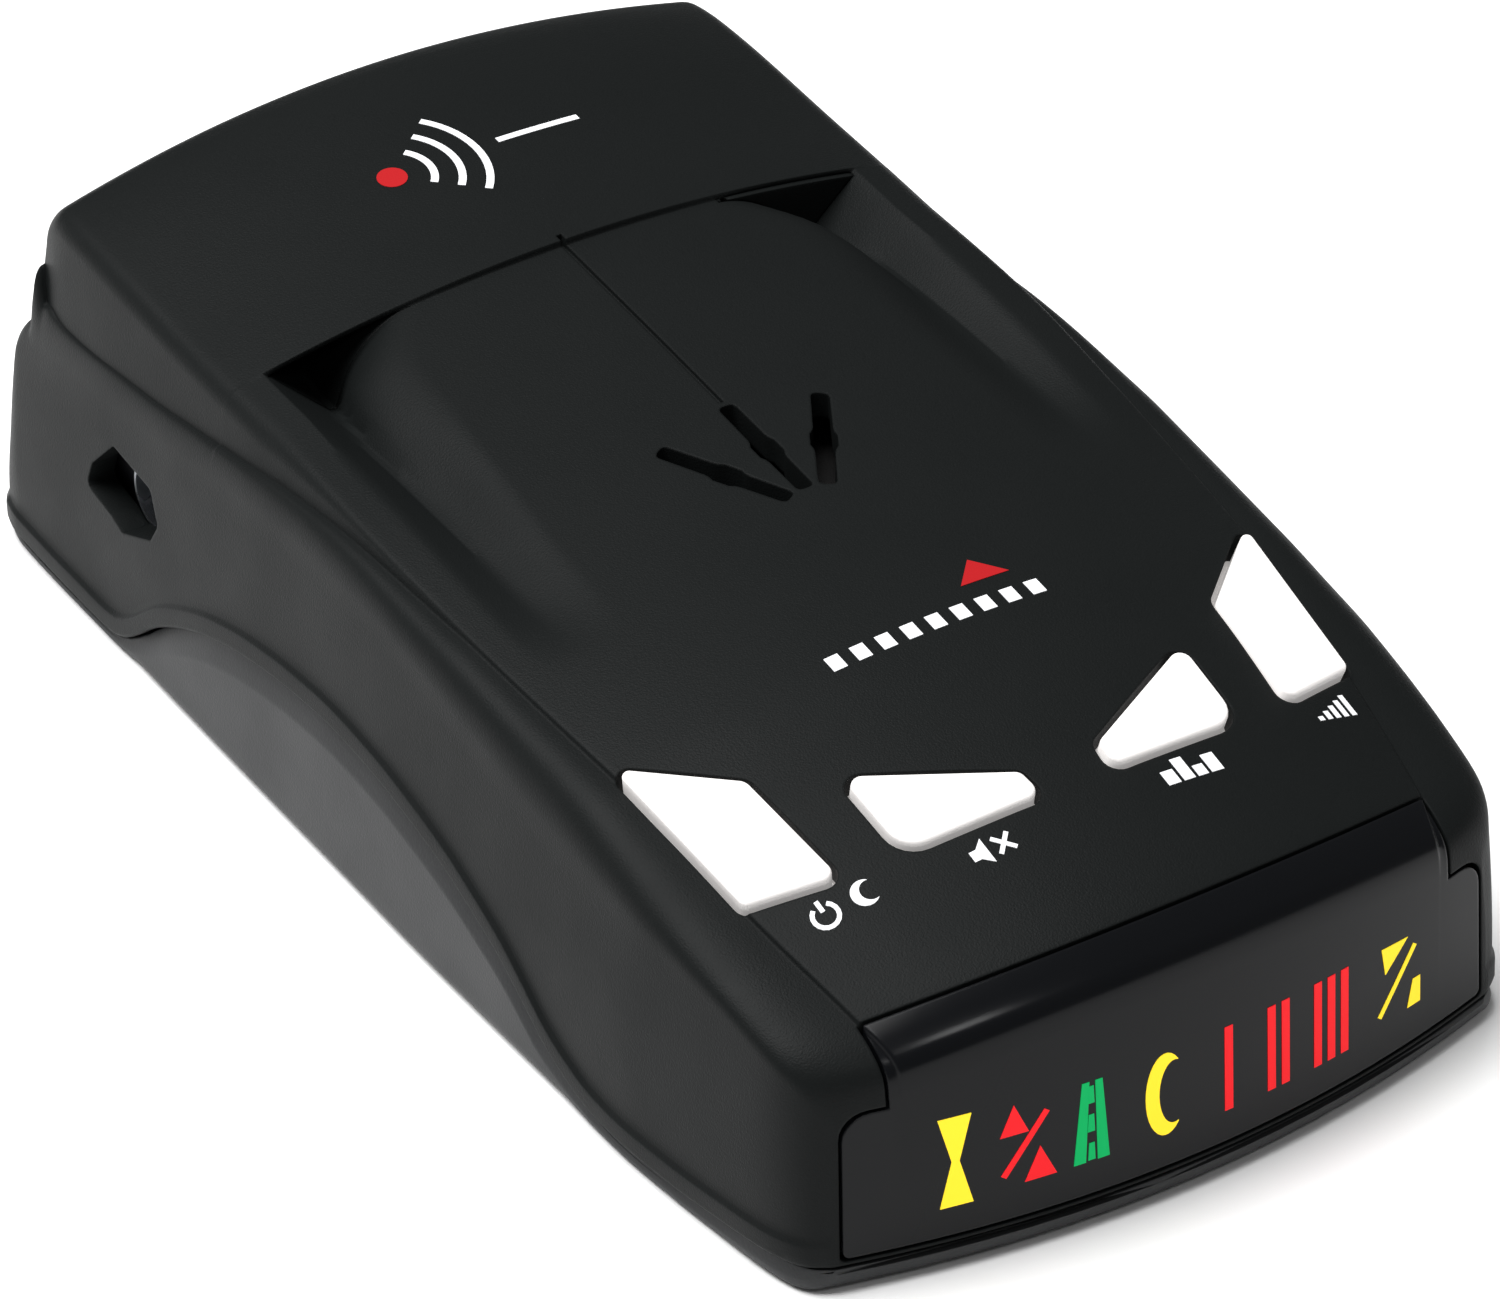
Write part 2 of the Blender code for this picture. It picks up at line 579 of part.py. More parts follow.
    # Front laser window
    window = skin("front_laser_window", [y * L for y in [54.6] + far[-7:]], 0.0, SMOKE)
    keep = box("keep_window", (-7.7 * W, 7.7 * W), (55.2 * L, 70), (3.4 * H, 8.4 * H))
    boolean(window, keep, "INTERSECT")
    wide, low, high = 9.2 * W, 3.0 * H, 9.6 * H
    add(window, box("window_flange", (-wide, wide), (54.7 * L, 56.2 * L), (low, high)))
    cut(upper, box("cut_window", (-8.0 * W, 8.0 * W), (50 * L, 70), (3.1 * H, 8.7 * H)))
    seat = (-wide - GAP, wide + GAP), (50 * L, 56.2 * L + GAP), (low - GAP, high + GAP)
    cut(upper, box("window_seat", *seat))

    # Lens
    lens = lens_block("display_lens", 0, LENS_BACK)
    lens.hide_render = False
    lens.display_type = "TEXTURED"
    lens.data.materials.append(material("display_lens", SMOKE))
    boolean(lens, skin("keep_lens", [y * L for y in front]), "INTERSECT")
    inside = [y * L for y in (-62, -61.4, -60.4, -59, -56, -52, -46)]
    cut(lens, skin("cut_lens_inner", inside, LENS_T))

    # Boards
    main_board = box("main_board", (-27.5 * W, 27.5 * W), (-49.5 * L, 49 * L), (6.0, 7.6), BOARD)
    for i, (x, y) in enumerate(SCREWS):
        cut(main_board, rod(f"board_notch_{i}", (x * W, y * L, 0), (0, 0, 1), 3.2, 4, 10, count=16))
    for i, (x, y) in enumerate(POSTS):
        x, y = x * W, y * L
        add(lower, rod(f"post_{i}", (x, y, 0), (0, 0, 1), 2.6, 1.2, 5.7, count=14))
        cut(lower, rod(f"post_pilot_{i}", (x, y, 0), (0, 0, 1), 1.2, 2.6, 9, count=10))
        cut(main_board, rod(f"board_hole_{i}", (x, y, 0), (0, 0, 1), 1.4, 4, 10, count=12))
        shape = [(0.9, 2.9), (0.9, 7.9), (2.0, 7.9), (2.0, 8.9), (1.4, 9.3)]
        turned(f"board_screw_{i + 1}", (x, y, 0), (0, 0, 1), shape, STEEL, 14)
    notch = (-40, mouth.x + 11.3), (mouth.y - 5.5, mouth.y + 8.9), (4, 10)
    cut(main_board, box("jack_notch", *notch))
    box("processor_chip", (-6, 6), (-33 * L, -21 * L), (7.9, 9.5), BLACK)
    box("power_regulator", (-22, -13), (8 * L, 14 * L), (7.9, 12.3), BLACK)
    shape = [(4.0, 7.9), (4.0, 17.4), (3.6, 17.9)]
    turned("filter_capacitor", (20, 14 * L, 0), (0, 0, 1), shape, ("#243A66", 0.35, 0), 20)
    box("rf_board", (-13 * W, 13 * W), (8 * L, 43 * L), (9.4, 10.8), ("#7A6A3A", 0.5, 0))
    box("board_header", (-8, 8), (9.5 * L, 12 * L), (7.9, 9.1), BLACK)
    box("rf_shield", (-9 * W, 9 * W), (-16 * L, 3 * L), (7.9, 11.5), STEEL)

    # Horn antenna: waveguide block, then the flare, open towards the windscreen
    middle = 17.6
    stages = [(10, 8, 5.6), (23, 8, 5.6), (23.5, 7, 4.6), (39.6, 12.4, 6.2)]
    horn = tapered("horn_antenna", middle, stages, ZINC)
    cut(horn, tapered("cut_horn", middle, [(14, 5.5, 2.8), (23.7, 5.8, 3.4), (41.6, 11.9, 5.8)]))
    rod("oscillator", (0, 17 * L, middle + 5.9), (0, 0, 1), 3.0, 0, 3.4, STEEL, 18)
    box("laser_photodiode", (-2.5, 2.5), (45 * L, 48.4 * L), (7.9, 10.6), BLACK)

    # Display: board, eight lamps, baffle and printed mask, all behind the lens
    box("display_board", (-23.4 * W, 23.4 * W), (-53.4 * L, -52.2 * L), (4.0 * H, 18.6 * H), BOARD)
    rings = []
    for x in np.linspace(-23.4 * W, 23.4 * W, 11):
        back = -57.0 * L + bend(x, -60 * L)
        low, high = 4.2 * H, 17.4 * H
        rings.append([place(x, -60.6 * L, low), (x, back, low), (x, back, high), place(x, -60.6 * L, high)])
    baffle = stack("light_baffle", rings, WHITE)
    tints = ["#D8B818", "#B81D22", "#0B8A4C", "#D8B818", "#B81D22", "#B81D22", "#B81D22", "#D8B818"]
    for i, tint in enumerate(tints):
        x = (-20.1 + i * 5.74) * W
        y = -57 * L + bend(x, -60 * L)
        cut(baffle, box(f"cell_{i}", (x - 2.3, x + 2.3), (-70, -45), (5.4 * H, 16.2 * H)))
        reach = -53.7 * L - y
        shape = [(1.7, 0), (1.5, 0.7), (1.5, reach - 0.2), (0.9, reach + 0.5)]
        turned(f"lamp_{i + 1}", (x, -53.7 * L, 10.8 * H), (0, -1, 0), shape, (tint, 0.3, 0), 12)
    rings = []
    for x in np.linspace(-23.2 * W, 23.2 * W, 11):
        corners = [(-61.6, 5.2), (-61.0, 5.2), (-61.0, 15.6), (-61.6, 15.6)]
        rings.append([place(x, y * L, z * H) for y, z in corners])
    stack("icon_mask", rings, BLACK)
    box("rear_laser_sensor", (-2, 2), (-55.6 * L, -53.7 * L), (15.9 * H, 18.2 * H), BLACK)

    # Keypad
    at = tilted(*KEYPAD_AT)
    pad = box("keypad_board", (-26.5 * W, 26.5 * W), (-8.6 * L, 9.0 * L), (-0.6, 0.6), BOARD)
    pad.data.transform(at)
    for i, (x, y) in enumerate(KEY_POSTS):
        x, y = x * W, y * L
        cut(pad, rod(f"pad_hole_{i}", (x, y, 0), (0, 0, 1), 1.3, 5, 30, count=12))
        base = KEYPAD_AT[1] + (y - KEYPAD_AT[0]) * math.tan(KEYPAD_TILT)
        shape = [(1.5, -2.9), (1.9, -2.5), (1.9, -1.5), (0.8, -1.5), (0.8, 4.4)]
        turned(f"keypad_screw_{i + 1}", (x, y, base), (0, 0, 1), shape, STEEL, 14)
    for name, (corners, side, _) in KEYS.items():
        centre, normal = key_plane(corners)
        x = centre.x * side
        y = (centre.y - KEYPAD_AT[0]) / math.cos(KEYPAD_TILT) - 1.4
        switch = name.replace("_key", "_switch")
        switch = box(switch, (x - 2.2, x + 2.2), (y - 2.2, y + 2.2), (0.9, 2.6), BLACK)
        plunger = rod(name + "_plunger", (x, y, 0), (0, 0, 1), 1.2, 2.0, 3.2, count=12)
        add(switch, plunger)
        switch.data.transform(at)
        plunger.data.transform(at)

    # Speaker, parallel to the deck over it
    tilt = math.atan(0.095)
    up = Vector((0, -math.sin(tilt), math.cos(tilt)))
    mouth = Vector((0, -6.0 * L, top_z(0, -6 * L) - WALL)) - up * 1.6
    gasket = rod("speaker_gasket", mouth, -up, 14.0, 0, 1.0, BLACK, 28)
    cut(gasket, rod("cut_gasket", mouth, -up, 12.0, -1, 2, count=28))
    back = mouth - up * 1.3
    frame = turned("speaker_frame", back, -up, [(14.0, 0), (14.0, 1.0), (10.0, 4.4), (7.6, 4.4)], STEEL, 28)
    basket = [(12.6, -1), (12.6, 0.6), (9.2, 3.4), (6.0, 3.4), (6.0, 6)]
    cut(frame, turned("cut_frame", back, -up, basket, count=28))
    dish = [(5.0, 3.0), (12.2, 0.5), (12.2, 0.1), (11.6, 0.1), (4.8, 2.5)]
    turned("speaker_cone", back, -up, dish, ("#3A3330", 0.8, 0), 28)
    turned("speaker_magnet", back, -up, [(7.5, 4.7), (7.5, 8.2), (7.0, 8.6)], ZINC, 24)

    # Label plate set into the underside
    cut(lower, box("cut_label", (-15.3 * W, 15.3 * W), (-22.3 * L, 6.3 * L), (-2, 0.55)))
    box("label_plate", (-15 * W, 15 * W), (-22 * L, 6 * L), (0.12, 0.4), ("#C9CBCD", 0.45, 0))


main()
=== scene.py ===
"""Dash-top radar detector: the visible surfaces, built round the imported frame.

Sizes are millimetres in the shape tables and metres in every mesh. X is the
width, -Y the display end, +Y the windscreen end and Z up, as in the frame."""

import json
import math

import bmesh
import bpy
import numpy as np
from mathutils import Matrix, Vector


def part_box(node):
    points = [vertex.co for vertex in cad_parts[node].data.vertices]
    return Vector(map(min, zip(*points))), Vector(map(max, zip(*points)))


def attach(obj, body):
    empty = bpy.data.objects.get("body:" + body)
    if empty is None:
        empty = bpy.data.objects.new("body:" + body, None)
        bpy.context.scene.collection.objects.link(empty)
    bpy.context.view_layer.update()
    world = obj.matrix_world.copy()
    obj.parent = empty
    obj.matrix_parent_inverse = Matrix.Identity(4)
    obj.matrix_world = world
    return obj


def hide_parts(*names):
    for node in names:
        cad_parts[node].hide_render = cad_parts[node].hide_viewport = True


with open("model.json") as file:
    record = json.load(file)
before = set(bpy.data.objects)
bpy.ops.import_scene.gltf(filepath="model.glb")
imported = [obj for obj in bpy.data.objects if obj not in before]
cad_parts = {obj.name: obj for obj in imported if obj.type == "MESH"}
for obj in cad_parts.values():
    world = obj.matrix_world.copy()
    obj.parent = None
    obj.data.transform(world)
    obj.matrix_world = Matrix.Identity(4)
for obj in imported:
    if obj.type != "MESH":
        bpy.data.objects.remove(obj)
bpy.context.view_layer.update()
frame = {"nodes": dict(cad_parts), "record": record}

bl_info = {
    "name": "Radar detector",
    "version": (1, 0, 0),
    "blender": (4, 5, 0),
    "location": "3D View > Sidebar > Detector",
    "description": "Builds the shells, keys, display and finishes of a dash-top radar detector",
    "category": "Object",
}

MM = 0.001
LIP = 23.5  # where the hood ends and the sunken deck starts
GAP = 0.3  # shadow gap between neighbouring pieces
SEAM_HALF = 0.15  # half the gap between the cover and the lower case
WALL = 2.2  # case wall
BASE_TOP = 2.4  # top of the lower case's floor
DRAFT = 0.035  # how far the side walls lean in for each mm of height
FACE_RAKE = 0.075  # how far the display face leans back for each mm of height
DISPLAY_ARC, WINDSCREEN_ARC = 104.0, 250.0  # radii of the two ends, seen from above
BROKEN_EDGE = 0.42  # radius round the top of a key cap
INK, INK_DEPTH = 0.05, 0.1  # how far a printed sign stands proud and reaches in
LENS_BACK = -59.2  # back edge of the lens's top strip
LENS_LOW, LENS_STEP = 3.3, 15.6  # lower edge of the lens, and where its outline steps in
LENS_WIDE, LENS_NARROW = 28.9, 25.1  # half widths of the lens under and over that step
CHANNEL_OUT = 27.4  # outer foot of the channels beside the dome
SLOT_HALF, SLOT_LOW, SLOT_HIGH = 13.0, 27.8, 32.2  # windscreen bracket slot
JACK_Y, JACK_Z = 36.8, 15.3  # middle of the power socket
LEGEND_Z = 9.7  # middle height of the display legends
STROKE = 0.36  # line width of the signs beside the keys
SCREWS = [(-27.2, -51.0), (27.2, -51.0), (-26.0, 49.0), (26.0, 49.0)]

# Socket opening in the side wall: (y, z) corners.
SOCKET = [
    (31.8, 16.2), (33.2, 18.9), (39.5, 19.4), (42.9, 15.9),
    (43.8, 13.4), (39.6, 12.8), (37.7, 12.2), (33.0, 14.2),
]

# Key outlines from above on the +X side: (x, y, corner radius).
OUTER_KEY = [(28.6, -28.4, 0.5), (21.25, -35.0, 1.2), (20.15, -45.7, 0.8), (27.2, -43.8, 0.8)]
INNER_KEY = [(15.3, -38.5, 0.9), (15.0, -46.4, 2.2), (3.2, -47.0, 0.9), (3.5, -44.6, 0.9)]
KEYS = {
    "power_key": (OUTER_KEY, -1),
    "quiet_key": (INNER_KEY, -1),
    "city_key": (INNER_KEY, 1),
    "volume_key": (OUTER_KEY, 1),
}

# Soft lights: (name, place in metres, side in metres, power in watts).
LAMPS = [
    ("top_softbox", (-0.3, 0.2, 1.1), 0.9, 24.5),
    ("side_softbox", (-0.7, 0.65, 0.35), 0.6, 1.0),
    ("front_lamp", (0.02, -0.62, 0.78), 0.12, 0.6),
]
WORLD_LIGHT = 0.12
CAMERA_AT = (-0.2878, -0.4383, 0.3841)  # metres
CAMERA_TURN, CAMERA_TILT, CAMERA_ROLL = 33.49, 35.46, 0.314  # degrees
CAMERA_LENS, CAMERA_SENSOR = 196.97, 36.0  # mm


# ---------------------------------------------------------------- shape tables
class Curve:
    """A smooth line through (y, value) points that never overshoots them."""

    def __init__(self, *points):
        table = np.array(points, float)
        self.at, self.value = table[:, 0], table[:, 1]
        self.step = np.diff(self.at)
        rise = np.diff(self.value) / self.step
        self.slope = np.zeros_like(self.value)
        self.slope[0], self.slope[-1] = rise[0], rise[-1]
        for i in range(1, len(self.value) - 1):
            if rise[i - 1] * rise[i] > 0:
                a = 2 * self.step[i] + self.step[i - 1]
                b = self.step[i] + 2 * self.step[i - 1]
                self.slope[i] = (a + b) / (a / rise[i - 1] + b / rise[i])

    def __call__(self, y):
        y = min(max(y, self.at[0]), self.at[-1])
        i = int(min(max(np.searchsorted(self.at, y) - 1, 0), len(self.step) - 1))
        t = (y - self.at[i]) / self.step[i]
        return float(
            self.value[i] * (1 + 2 * t) * (1 - t) ** 2
            + self.step[i] * self.slope[i] * t * (1 - t) ** 2
            + self.value[i + 1] * t * t * (3 - 2 * t)
            + self.step[i] * self.slope[i + 1] * t * t * (t - 1)
        )


half_width = Curve(
    (-64, 29.6), (-63.4, 31.0), (-62, 31.9), (-59.5, 32.5), (-54, 33.1), (-48, 33.6), (-40, 34.0),
    (-13, 34.1), (4, 33.8), (23, 33.4), (41, 32.9), (58, 32.4), (61, 31.6), (62.6, 30.4), (64, 28.0),
)
deck = Curve(
    (-64, 18.6), (-63.9, 20.0), (-63.5, 21.1), (-62.6, 21.9), (-59, 23.3), (-46.5, 26.9), (-39, 28.7),
    (-35.6, 29.35), (-29, 30.6), (-10, 32.4), (0, 33.4), (10, 34.4), (23.5, 35.6),
)
hood = Curve(
    (23.5, 36.1), (30, 36.5), (50, 37.7), (52.4, 37.4), (53.9, 36.3), (55.0, 33.8),
    (55.5, 29.5), (55.9, 24.9), (57.4, 23.6), (58.7, 21.4), (59.4, 18.6), (62.2, 7.6), (63.4, 4.2), (64, 3.2),
)
deck_crown = Curve((-64, 0.0037), (-29, 0.0037), (-10, 0.0029), (3, 0.0025), (23.5, 0.0030))
hood_crown = Curve((23.5, 0.0036), (50, 0.0036), (54, 0.0030), (56, 0.0015), (64, 0.0008))
crown_edge = Curve(
    (-64, 24.2), (-59, 25.2), (-45.8, 27.2), (-29, 28.7), (-10, 30.1), (3, 30.8), (12, 31.0), (23.5, 31.2),
    (50, 30.9), (54, 30.4), (57, 29.5), (60, 28.5), (64, 26),
)
crown_wall = Curve(
    (-64, 0.35), (-12, 0.35), (-6.7, 0.6), (3.4, 1.2), (12.6, 2.4), (23.5, 4.4), (36, 7.0), (50, 8.9),
    (53.8, 8.0), (55.2, 2.5), (55.9, 0.35), (64, 0.35),
)
shoulder_height = Curve(
    (-64, 14), (-63.4, 16.0), (-62, 17.6), (-59, 18.6), (-52, 20.4), (-45, 21.2), (-35, 21.7), (-27, 22.3),
    (-16, 24.2), (-9, 25.5), (0, 26.4), (10, 26.2), (21, 25.0), (36, 22.6), (50, 21.3),
    (55, 20.9), (57.4, 20.0), (58.7, 18.2), (59.4, 15.5), (62.2, 5.2), (63.4, 2.4), (64, 1.7),
)
underside = Curve((-64, 2.0), (-63.7, 1.1), (-63.1, 0.4), (-62, 0), (62.5, 0), (64, 0.3))
channel_depth = Curve(
    (-64, 0), (-18, 0), (-10, 0.8), (3, 1.8), (12.6, 2.6), (18, 3.4), (21, 4.6), (23.5, 6.4),
)
channel_in = Curve((-64, 19.5), (-10, 19.5), (3, 18.5), (12.6, 17.6), (18, 16.8), (23.5, 13.5))
channel_low = Curve((-64, 24.4), (-10, 24.4), (12.6, 24.2), (19, 23.4), (23.5, 21.6))
seam = Curve(
    (-64, 2.6), (-48, 1.6), (-40, 1.5), (-36, 1.7), (-32.3, 2.5), (-28.5, 3.9), (-25, 6.0), (-21.3, 8.2),
    (-17.5, 9.9), (-13.6, 11.4), (-9, 12.6), (-3, 13.6), (4, 14.0), (10, 13.6), (16, 12.7), (22.5, 11.0),
    (27, 9.2), (32, 6.4), (36.5, 3.0), (39.5, 1.5), (42.5, 1.1), (64, 1.1),
)


def ease(t):
    t = np.clip(t, 0.0, 1.0)
    return t * t * (3 - 2 * t)


def bend(x, y):
    """Both ends are arcs seen from above: how far a point moves along Y."""
    near = x * x / (2 * DISPLAY_ARC) * ease((-20 - y) / 40)
    return near - x * x / (2 * WINDSCREEN_ARC) * ease((y - 30) / 25)


def place(x, y, z):
    """From straight coordinates to the bent and raked body, in mm."""
    return (x, y + bend(x, y) + FACE_RAKE * z * ease((-58 - y) / 6), z)


def top_z(x, y, channel=True):
    """Height of the upper surface, for one x or an array of them."""
    x = np.abs(x)
    if y >= LIP:
        return hood(y) - hood_crown(y) * x * x
    low, start = channel_low(y), channel_in(y)
    inner = ease((x - start) / (low - start))
    sharp = float(ease((y - 2) / 18))
    round_in = 1 - np.sqrt(1 - np.clip((x - start) / (low - 0.8 - start), 0, 1) ** 2)
    inner = inner * (1 - sharp) + sharp * round_in
    outer = np.clip(1 - (x - low) / (CHANNEL_OUT - low), 0, 1)
    deep = np.where(x < low, inner, outer) if channel else 0
    return deck(y) - deck_crown(y) * x * x - channel_depth(y) * deep


def settle(x, y):
    """Straight y of a point given where it ends up seen from above."""
    straight = y
    for _ in range(5):
        straight = y - bend(x, straight)
    return straight


def on_top(x, y, lift=0.0):
    """The point of the upper surface straight above (x, y), in mm."""
    return Vector((x, y, float(top_z(x, settle(x, y))) + lift))


# ---------------------------------------------------------------- mesh helpers
def new_object(name, data):
    """An object that holds this data, linked to the scene."""
    made = bpy.data.objects.new(name, data)
    bpy.context.scene.collection.objects.link(made)
    return made


def solid(name, points, faces):
    """A mesh object from points in mm, its faces turned outwards."""
    mesh = bpy.data.meshes.new(name)
    mesh.from_pydata([Vector(p) * MM for p in points], [], faces)
    work = bmesh.new()
    work.from_mesh(mesh)
    bmesh.ops.recalc_face_normals(work, faces=work.faces)
    work.to_mesh(mesh)
    work.free()
    return new_object(name, mesh)


def box(name, x, y, z):
    points = [(a, b, c) for a in x for b in y for c in z]
    faces = [(0, 1, 3, 2), (4, 6, 7, 5), (0, 4, 5, 1), (2, 3, 7, 6), (0, 2, 6, 4), (1, 5, 7, 3)]
    return solid(name, points, faces)


def ring_faces(count, rings):
    """Quads between neighbouring rings of count points each."""
    faces = []
    for i in range(rings - 1):
        for j in range(count):
            k = (j + 1) % count
            faces.append((i * count + j, i * count + k, (i + 1) * count + k, (i + 1) * count + j))
    return faces


def stack(name, rings):
    """A closed solid from rings with equal numbers of points, capped flat."""
    count = len(rings[0])
    points = [p for ring in rings for p in ring]
    caps = [tuple(range(count)), tuple(range(len(points) - count, len(points)))]
    return solid(name, points, caps + ring_faces(count, len(rings)))


def turned(name, centre, axis, profile, count=48):
    """A solid of revolution: profile is (radius, height) from end to end."""
    axis = Vector(axis).normalized()
    side = axis.orthogonal().normalized()
    other = axis.cross(side)
    rings = []
    for radius, height in profile:
        ring = []
        for a in np.linspace(0, 2 * math.pi, count, endpoint=False):
            out = side * math.cos(a) + other * math.sin(a)
            ring.append(Vector(centre) + axis * height + out * radius)
        rings.append(ring)
    return stack(name, rings)


def rounded(corners, steps=6):
    """Outline with its (x, y, radius) corners rounded."""
    out = []
    for i, (x, y, radius) in enumerate(corners):
        here = Vector((x, y))
        back = (Vector(corners[i - 1][:2]) - here).normalized()
        ahead = (Vector(corners[(i + 1) % len(corners)][:2]) - here).normalized()
        if radius <= 0:
            out.append((x, y))
            continue
        half = back.angle(ahead) / 2
        centre = here + (back + ahead).normalized() * (radius / math.sin(half))
        start = here + back * (radius / math.tan(half)) - centre
        sweep = start.angle_signed(here + ahead * (radius / math.tan(half)) - centre)
        for step in range(steps + 1):
            a = -sweep * step / steps
            across = start.x * math.cos(a) - start.y * math.sin(a)
            along = start.x * math.sin(a) + start.y * math.cos(a)
            out.append((centre.x + across, centre.y + along))
    return out


def grown(outline, by):
    """The outline moved outwards, or inwards when by is negative."""
    count = len(outline)
    out = []
    area = 0
    for i, (x, y) in enumerate(outline):
        u, v = outline[(i + 1) % count]
        area += x * v - u * y
    turn = 1 if area > 0 else -1
    for i in range(count):
        here = Vector(outline[i])
        back = (here - Vector(outline[i - 1])).normalized()
        ahead = (Vector(outline[(i + 1) % count]) - here).normalized()
        normal = (Vector((back.y, -back.x)) + Vector((ahead.y, -ahead.x))) * turn
        normal.normalize()
        lean = max(normal.dot(Vector((back.y, -back.x)) * turn), 0.4)
        out.append(tuple(here + normal * by / lean))
    return out


def boolean(target, tool, kind="DIFFERENCE"):
    """Applies one Boolean at once and removes its tool."""
    change = target.modifiers.new("cut", "BOOLEAN")
    change.operation = kind
    change.solver = "EXACT"
    change.object = tool
    graph = bpy.context.evaluated_depsgraph_get()
    result = bpy.data.meshes.new_from_object(target.evaluated_get(graph))
    target.modifiers.clear()
    old, target.data = target.data, result
    bpy.data.meshes.remove(old)
    bpy.data.objects.remove(tool)


def joined(name, objects):
    """One object from several that don't touch."""
    work = bmesh.new()
    for made in objects:
        work.from_mesh(made.data)
        bpy.data.objects.remove(made)
    mesh = bpy.data.meshes.new(name)
    work.to_mesh(mesh)
    work.free()
    return new_object(name, mesh)


def finish_piece(made, body, surface, slot, *nodes, sharp=30):
    """Shading, material, body and the CAD nodes that a finished piece stands for."""
    made.data.materials.clear()
    made.data.materials.append(surface)
    made.data.shade_smooth()
    made.data.set_sharp_from_angle(angle=math.radians(sharp))
    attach(made, body)
    if nodes:
        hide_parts(*nodes)
    return made


# ---------------------------------------------------------------- materials
def linear(code):
    """sRGB hex to the linear numbers that a shader takes."""
    values = [int(code[i : i + 2], 16) / 255 for i in (1, 3, 5)]
    return tuple(v / 12.92 if v <= 0.04045 else ((v + 0.055) / 1.055) ** 2.4 for v in values)


def add_node(tree, kind, values=None, links=None):
    """One node with its settings, by attribute or input name, and its links."""
    made = tree.nodes.new(kind)
    for key, value in (values or {}).items():
        if isinstance(key, str) and hasattr(made, key):
            setattr(made, key, value)
        else:
            made.inputs[key].default_value = value
    for key, source in (links or {}).items():
        tree.links.new(source, made.inputs[key])
    return made


def surface_of(
    name, colour, rough, metal=0.0, grain=0.2, bump=0.0, mottle=0.0, wear=0.0, edge=0.0, **sockets
):
    """A moulded, painted or metal surface: grain is its pattern size in mm, bump its depth in mm,
    mottle the share by which its tone varies, wear the spread of its roughness and edge the
    radius in mm that its corners are broken to."""
    made = bpy.data.materials.new(name)
    made.use_nodes = True
    tree = made.node_tree
    shader = tree.nodes["Principled BSDF"]
    shader.inputs["Metallic"].default_value = metal
    shader.inputs["Base Color"].default_value = (*colour, 1)
    shader.inputs["Roughness"].default_value = rough
    for key, value in sockets.items():
        shader.inputs[key.replace("_", " ")].default_value = value
    place_at = add_node(tree, "ShaderNodeTexCoord").outputs["Object"]
    at = {"Vector": place_at}
    fine = add_node(tree, "ShaderNodeTexNoise", {"Scale": 1 / (grain * MM), "Detail": 3.0}, at)
    broad = add_node(tree, "ShaderNodeTexNoise", {"Scale": 90.0, "Detail": 4.0}, at)
    if mottle:
        reach = {"To Min": 1 - mottle, "To Max": 1 + mottle}
        tone = add_node(tree, "ShaderNodeMapRange", reach, {"Value": fine.outputs[0]})
        tint = add_node(tree, "ShaderNodeVectorMath", {"operation": "SCALE"}, {"Scale": tone.outputs[0]})
        tint.inputs[0].default_value = colour
        tree.links.new(tint.outputs[0], shader.inputs["Base Color"])
    if wear:
        reach = {"From Min": 0.3, "From Max": 0.7, "To Min": rough - wear, "To Max": rough + wear}
        spread = add_node(tree, "ShaderNodeMapRange", reach, {"Value": broad.outputs[0]})
        tree.links.new(spread.outputs[0], shader.inputs["Roughness"])
    normal = None
    if edge:
        normal = add_node(tree, "ShaderNodeBevel", {"samples": 4, "Radius": edge * MM}).outputs[0]
    if bump:
        relief = add_node(
            tree, "ShaderNodeBump", {"Distance": bump * MM, "Strength": 1.0}, {"Height": fine.outputs[0]}
        )
        if normal:
            tree.links.new(normal, relief.inputs["Normal"])
        normal = relief.outputs[0]
    if normal:
        tree.links.new(normal, shader.inputs["Normal"])
    return made


FINISHES = {}


def lit_legend(code):
    """Translucent lamp legend, evenly lit from behind."""
    return dict(
        colour=linear(code), rough=0.5, grain=0.2, mottle=0.02, Specular_IOR_Level=0.1,
        Emission_Color=(*linear(code), 1), Emission_Strength=0.4,
    )


def printed_ink(code, shine):
    """Pad-printed ink, matt and slightly raised."""
    return dict(colour=linear(code), rough=0.6, grain=0.1, bump=0.004, mottle=0.03, Specular_IOR_Level=shine)


def lamp_resin(code):
    """Tinted epoxy of a small lamp, glossy and even."""
    return dict(colour=linear(code), rough=0.15, grain=1.0, mottle=0.03)


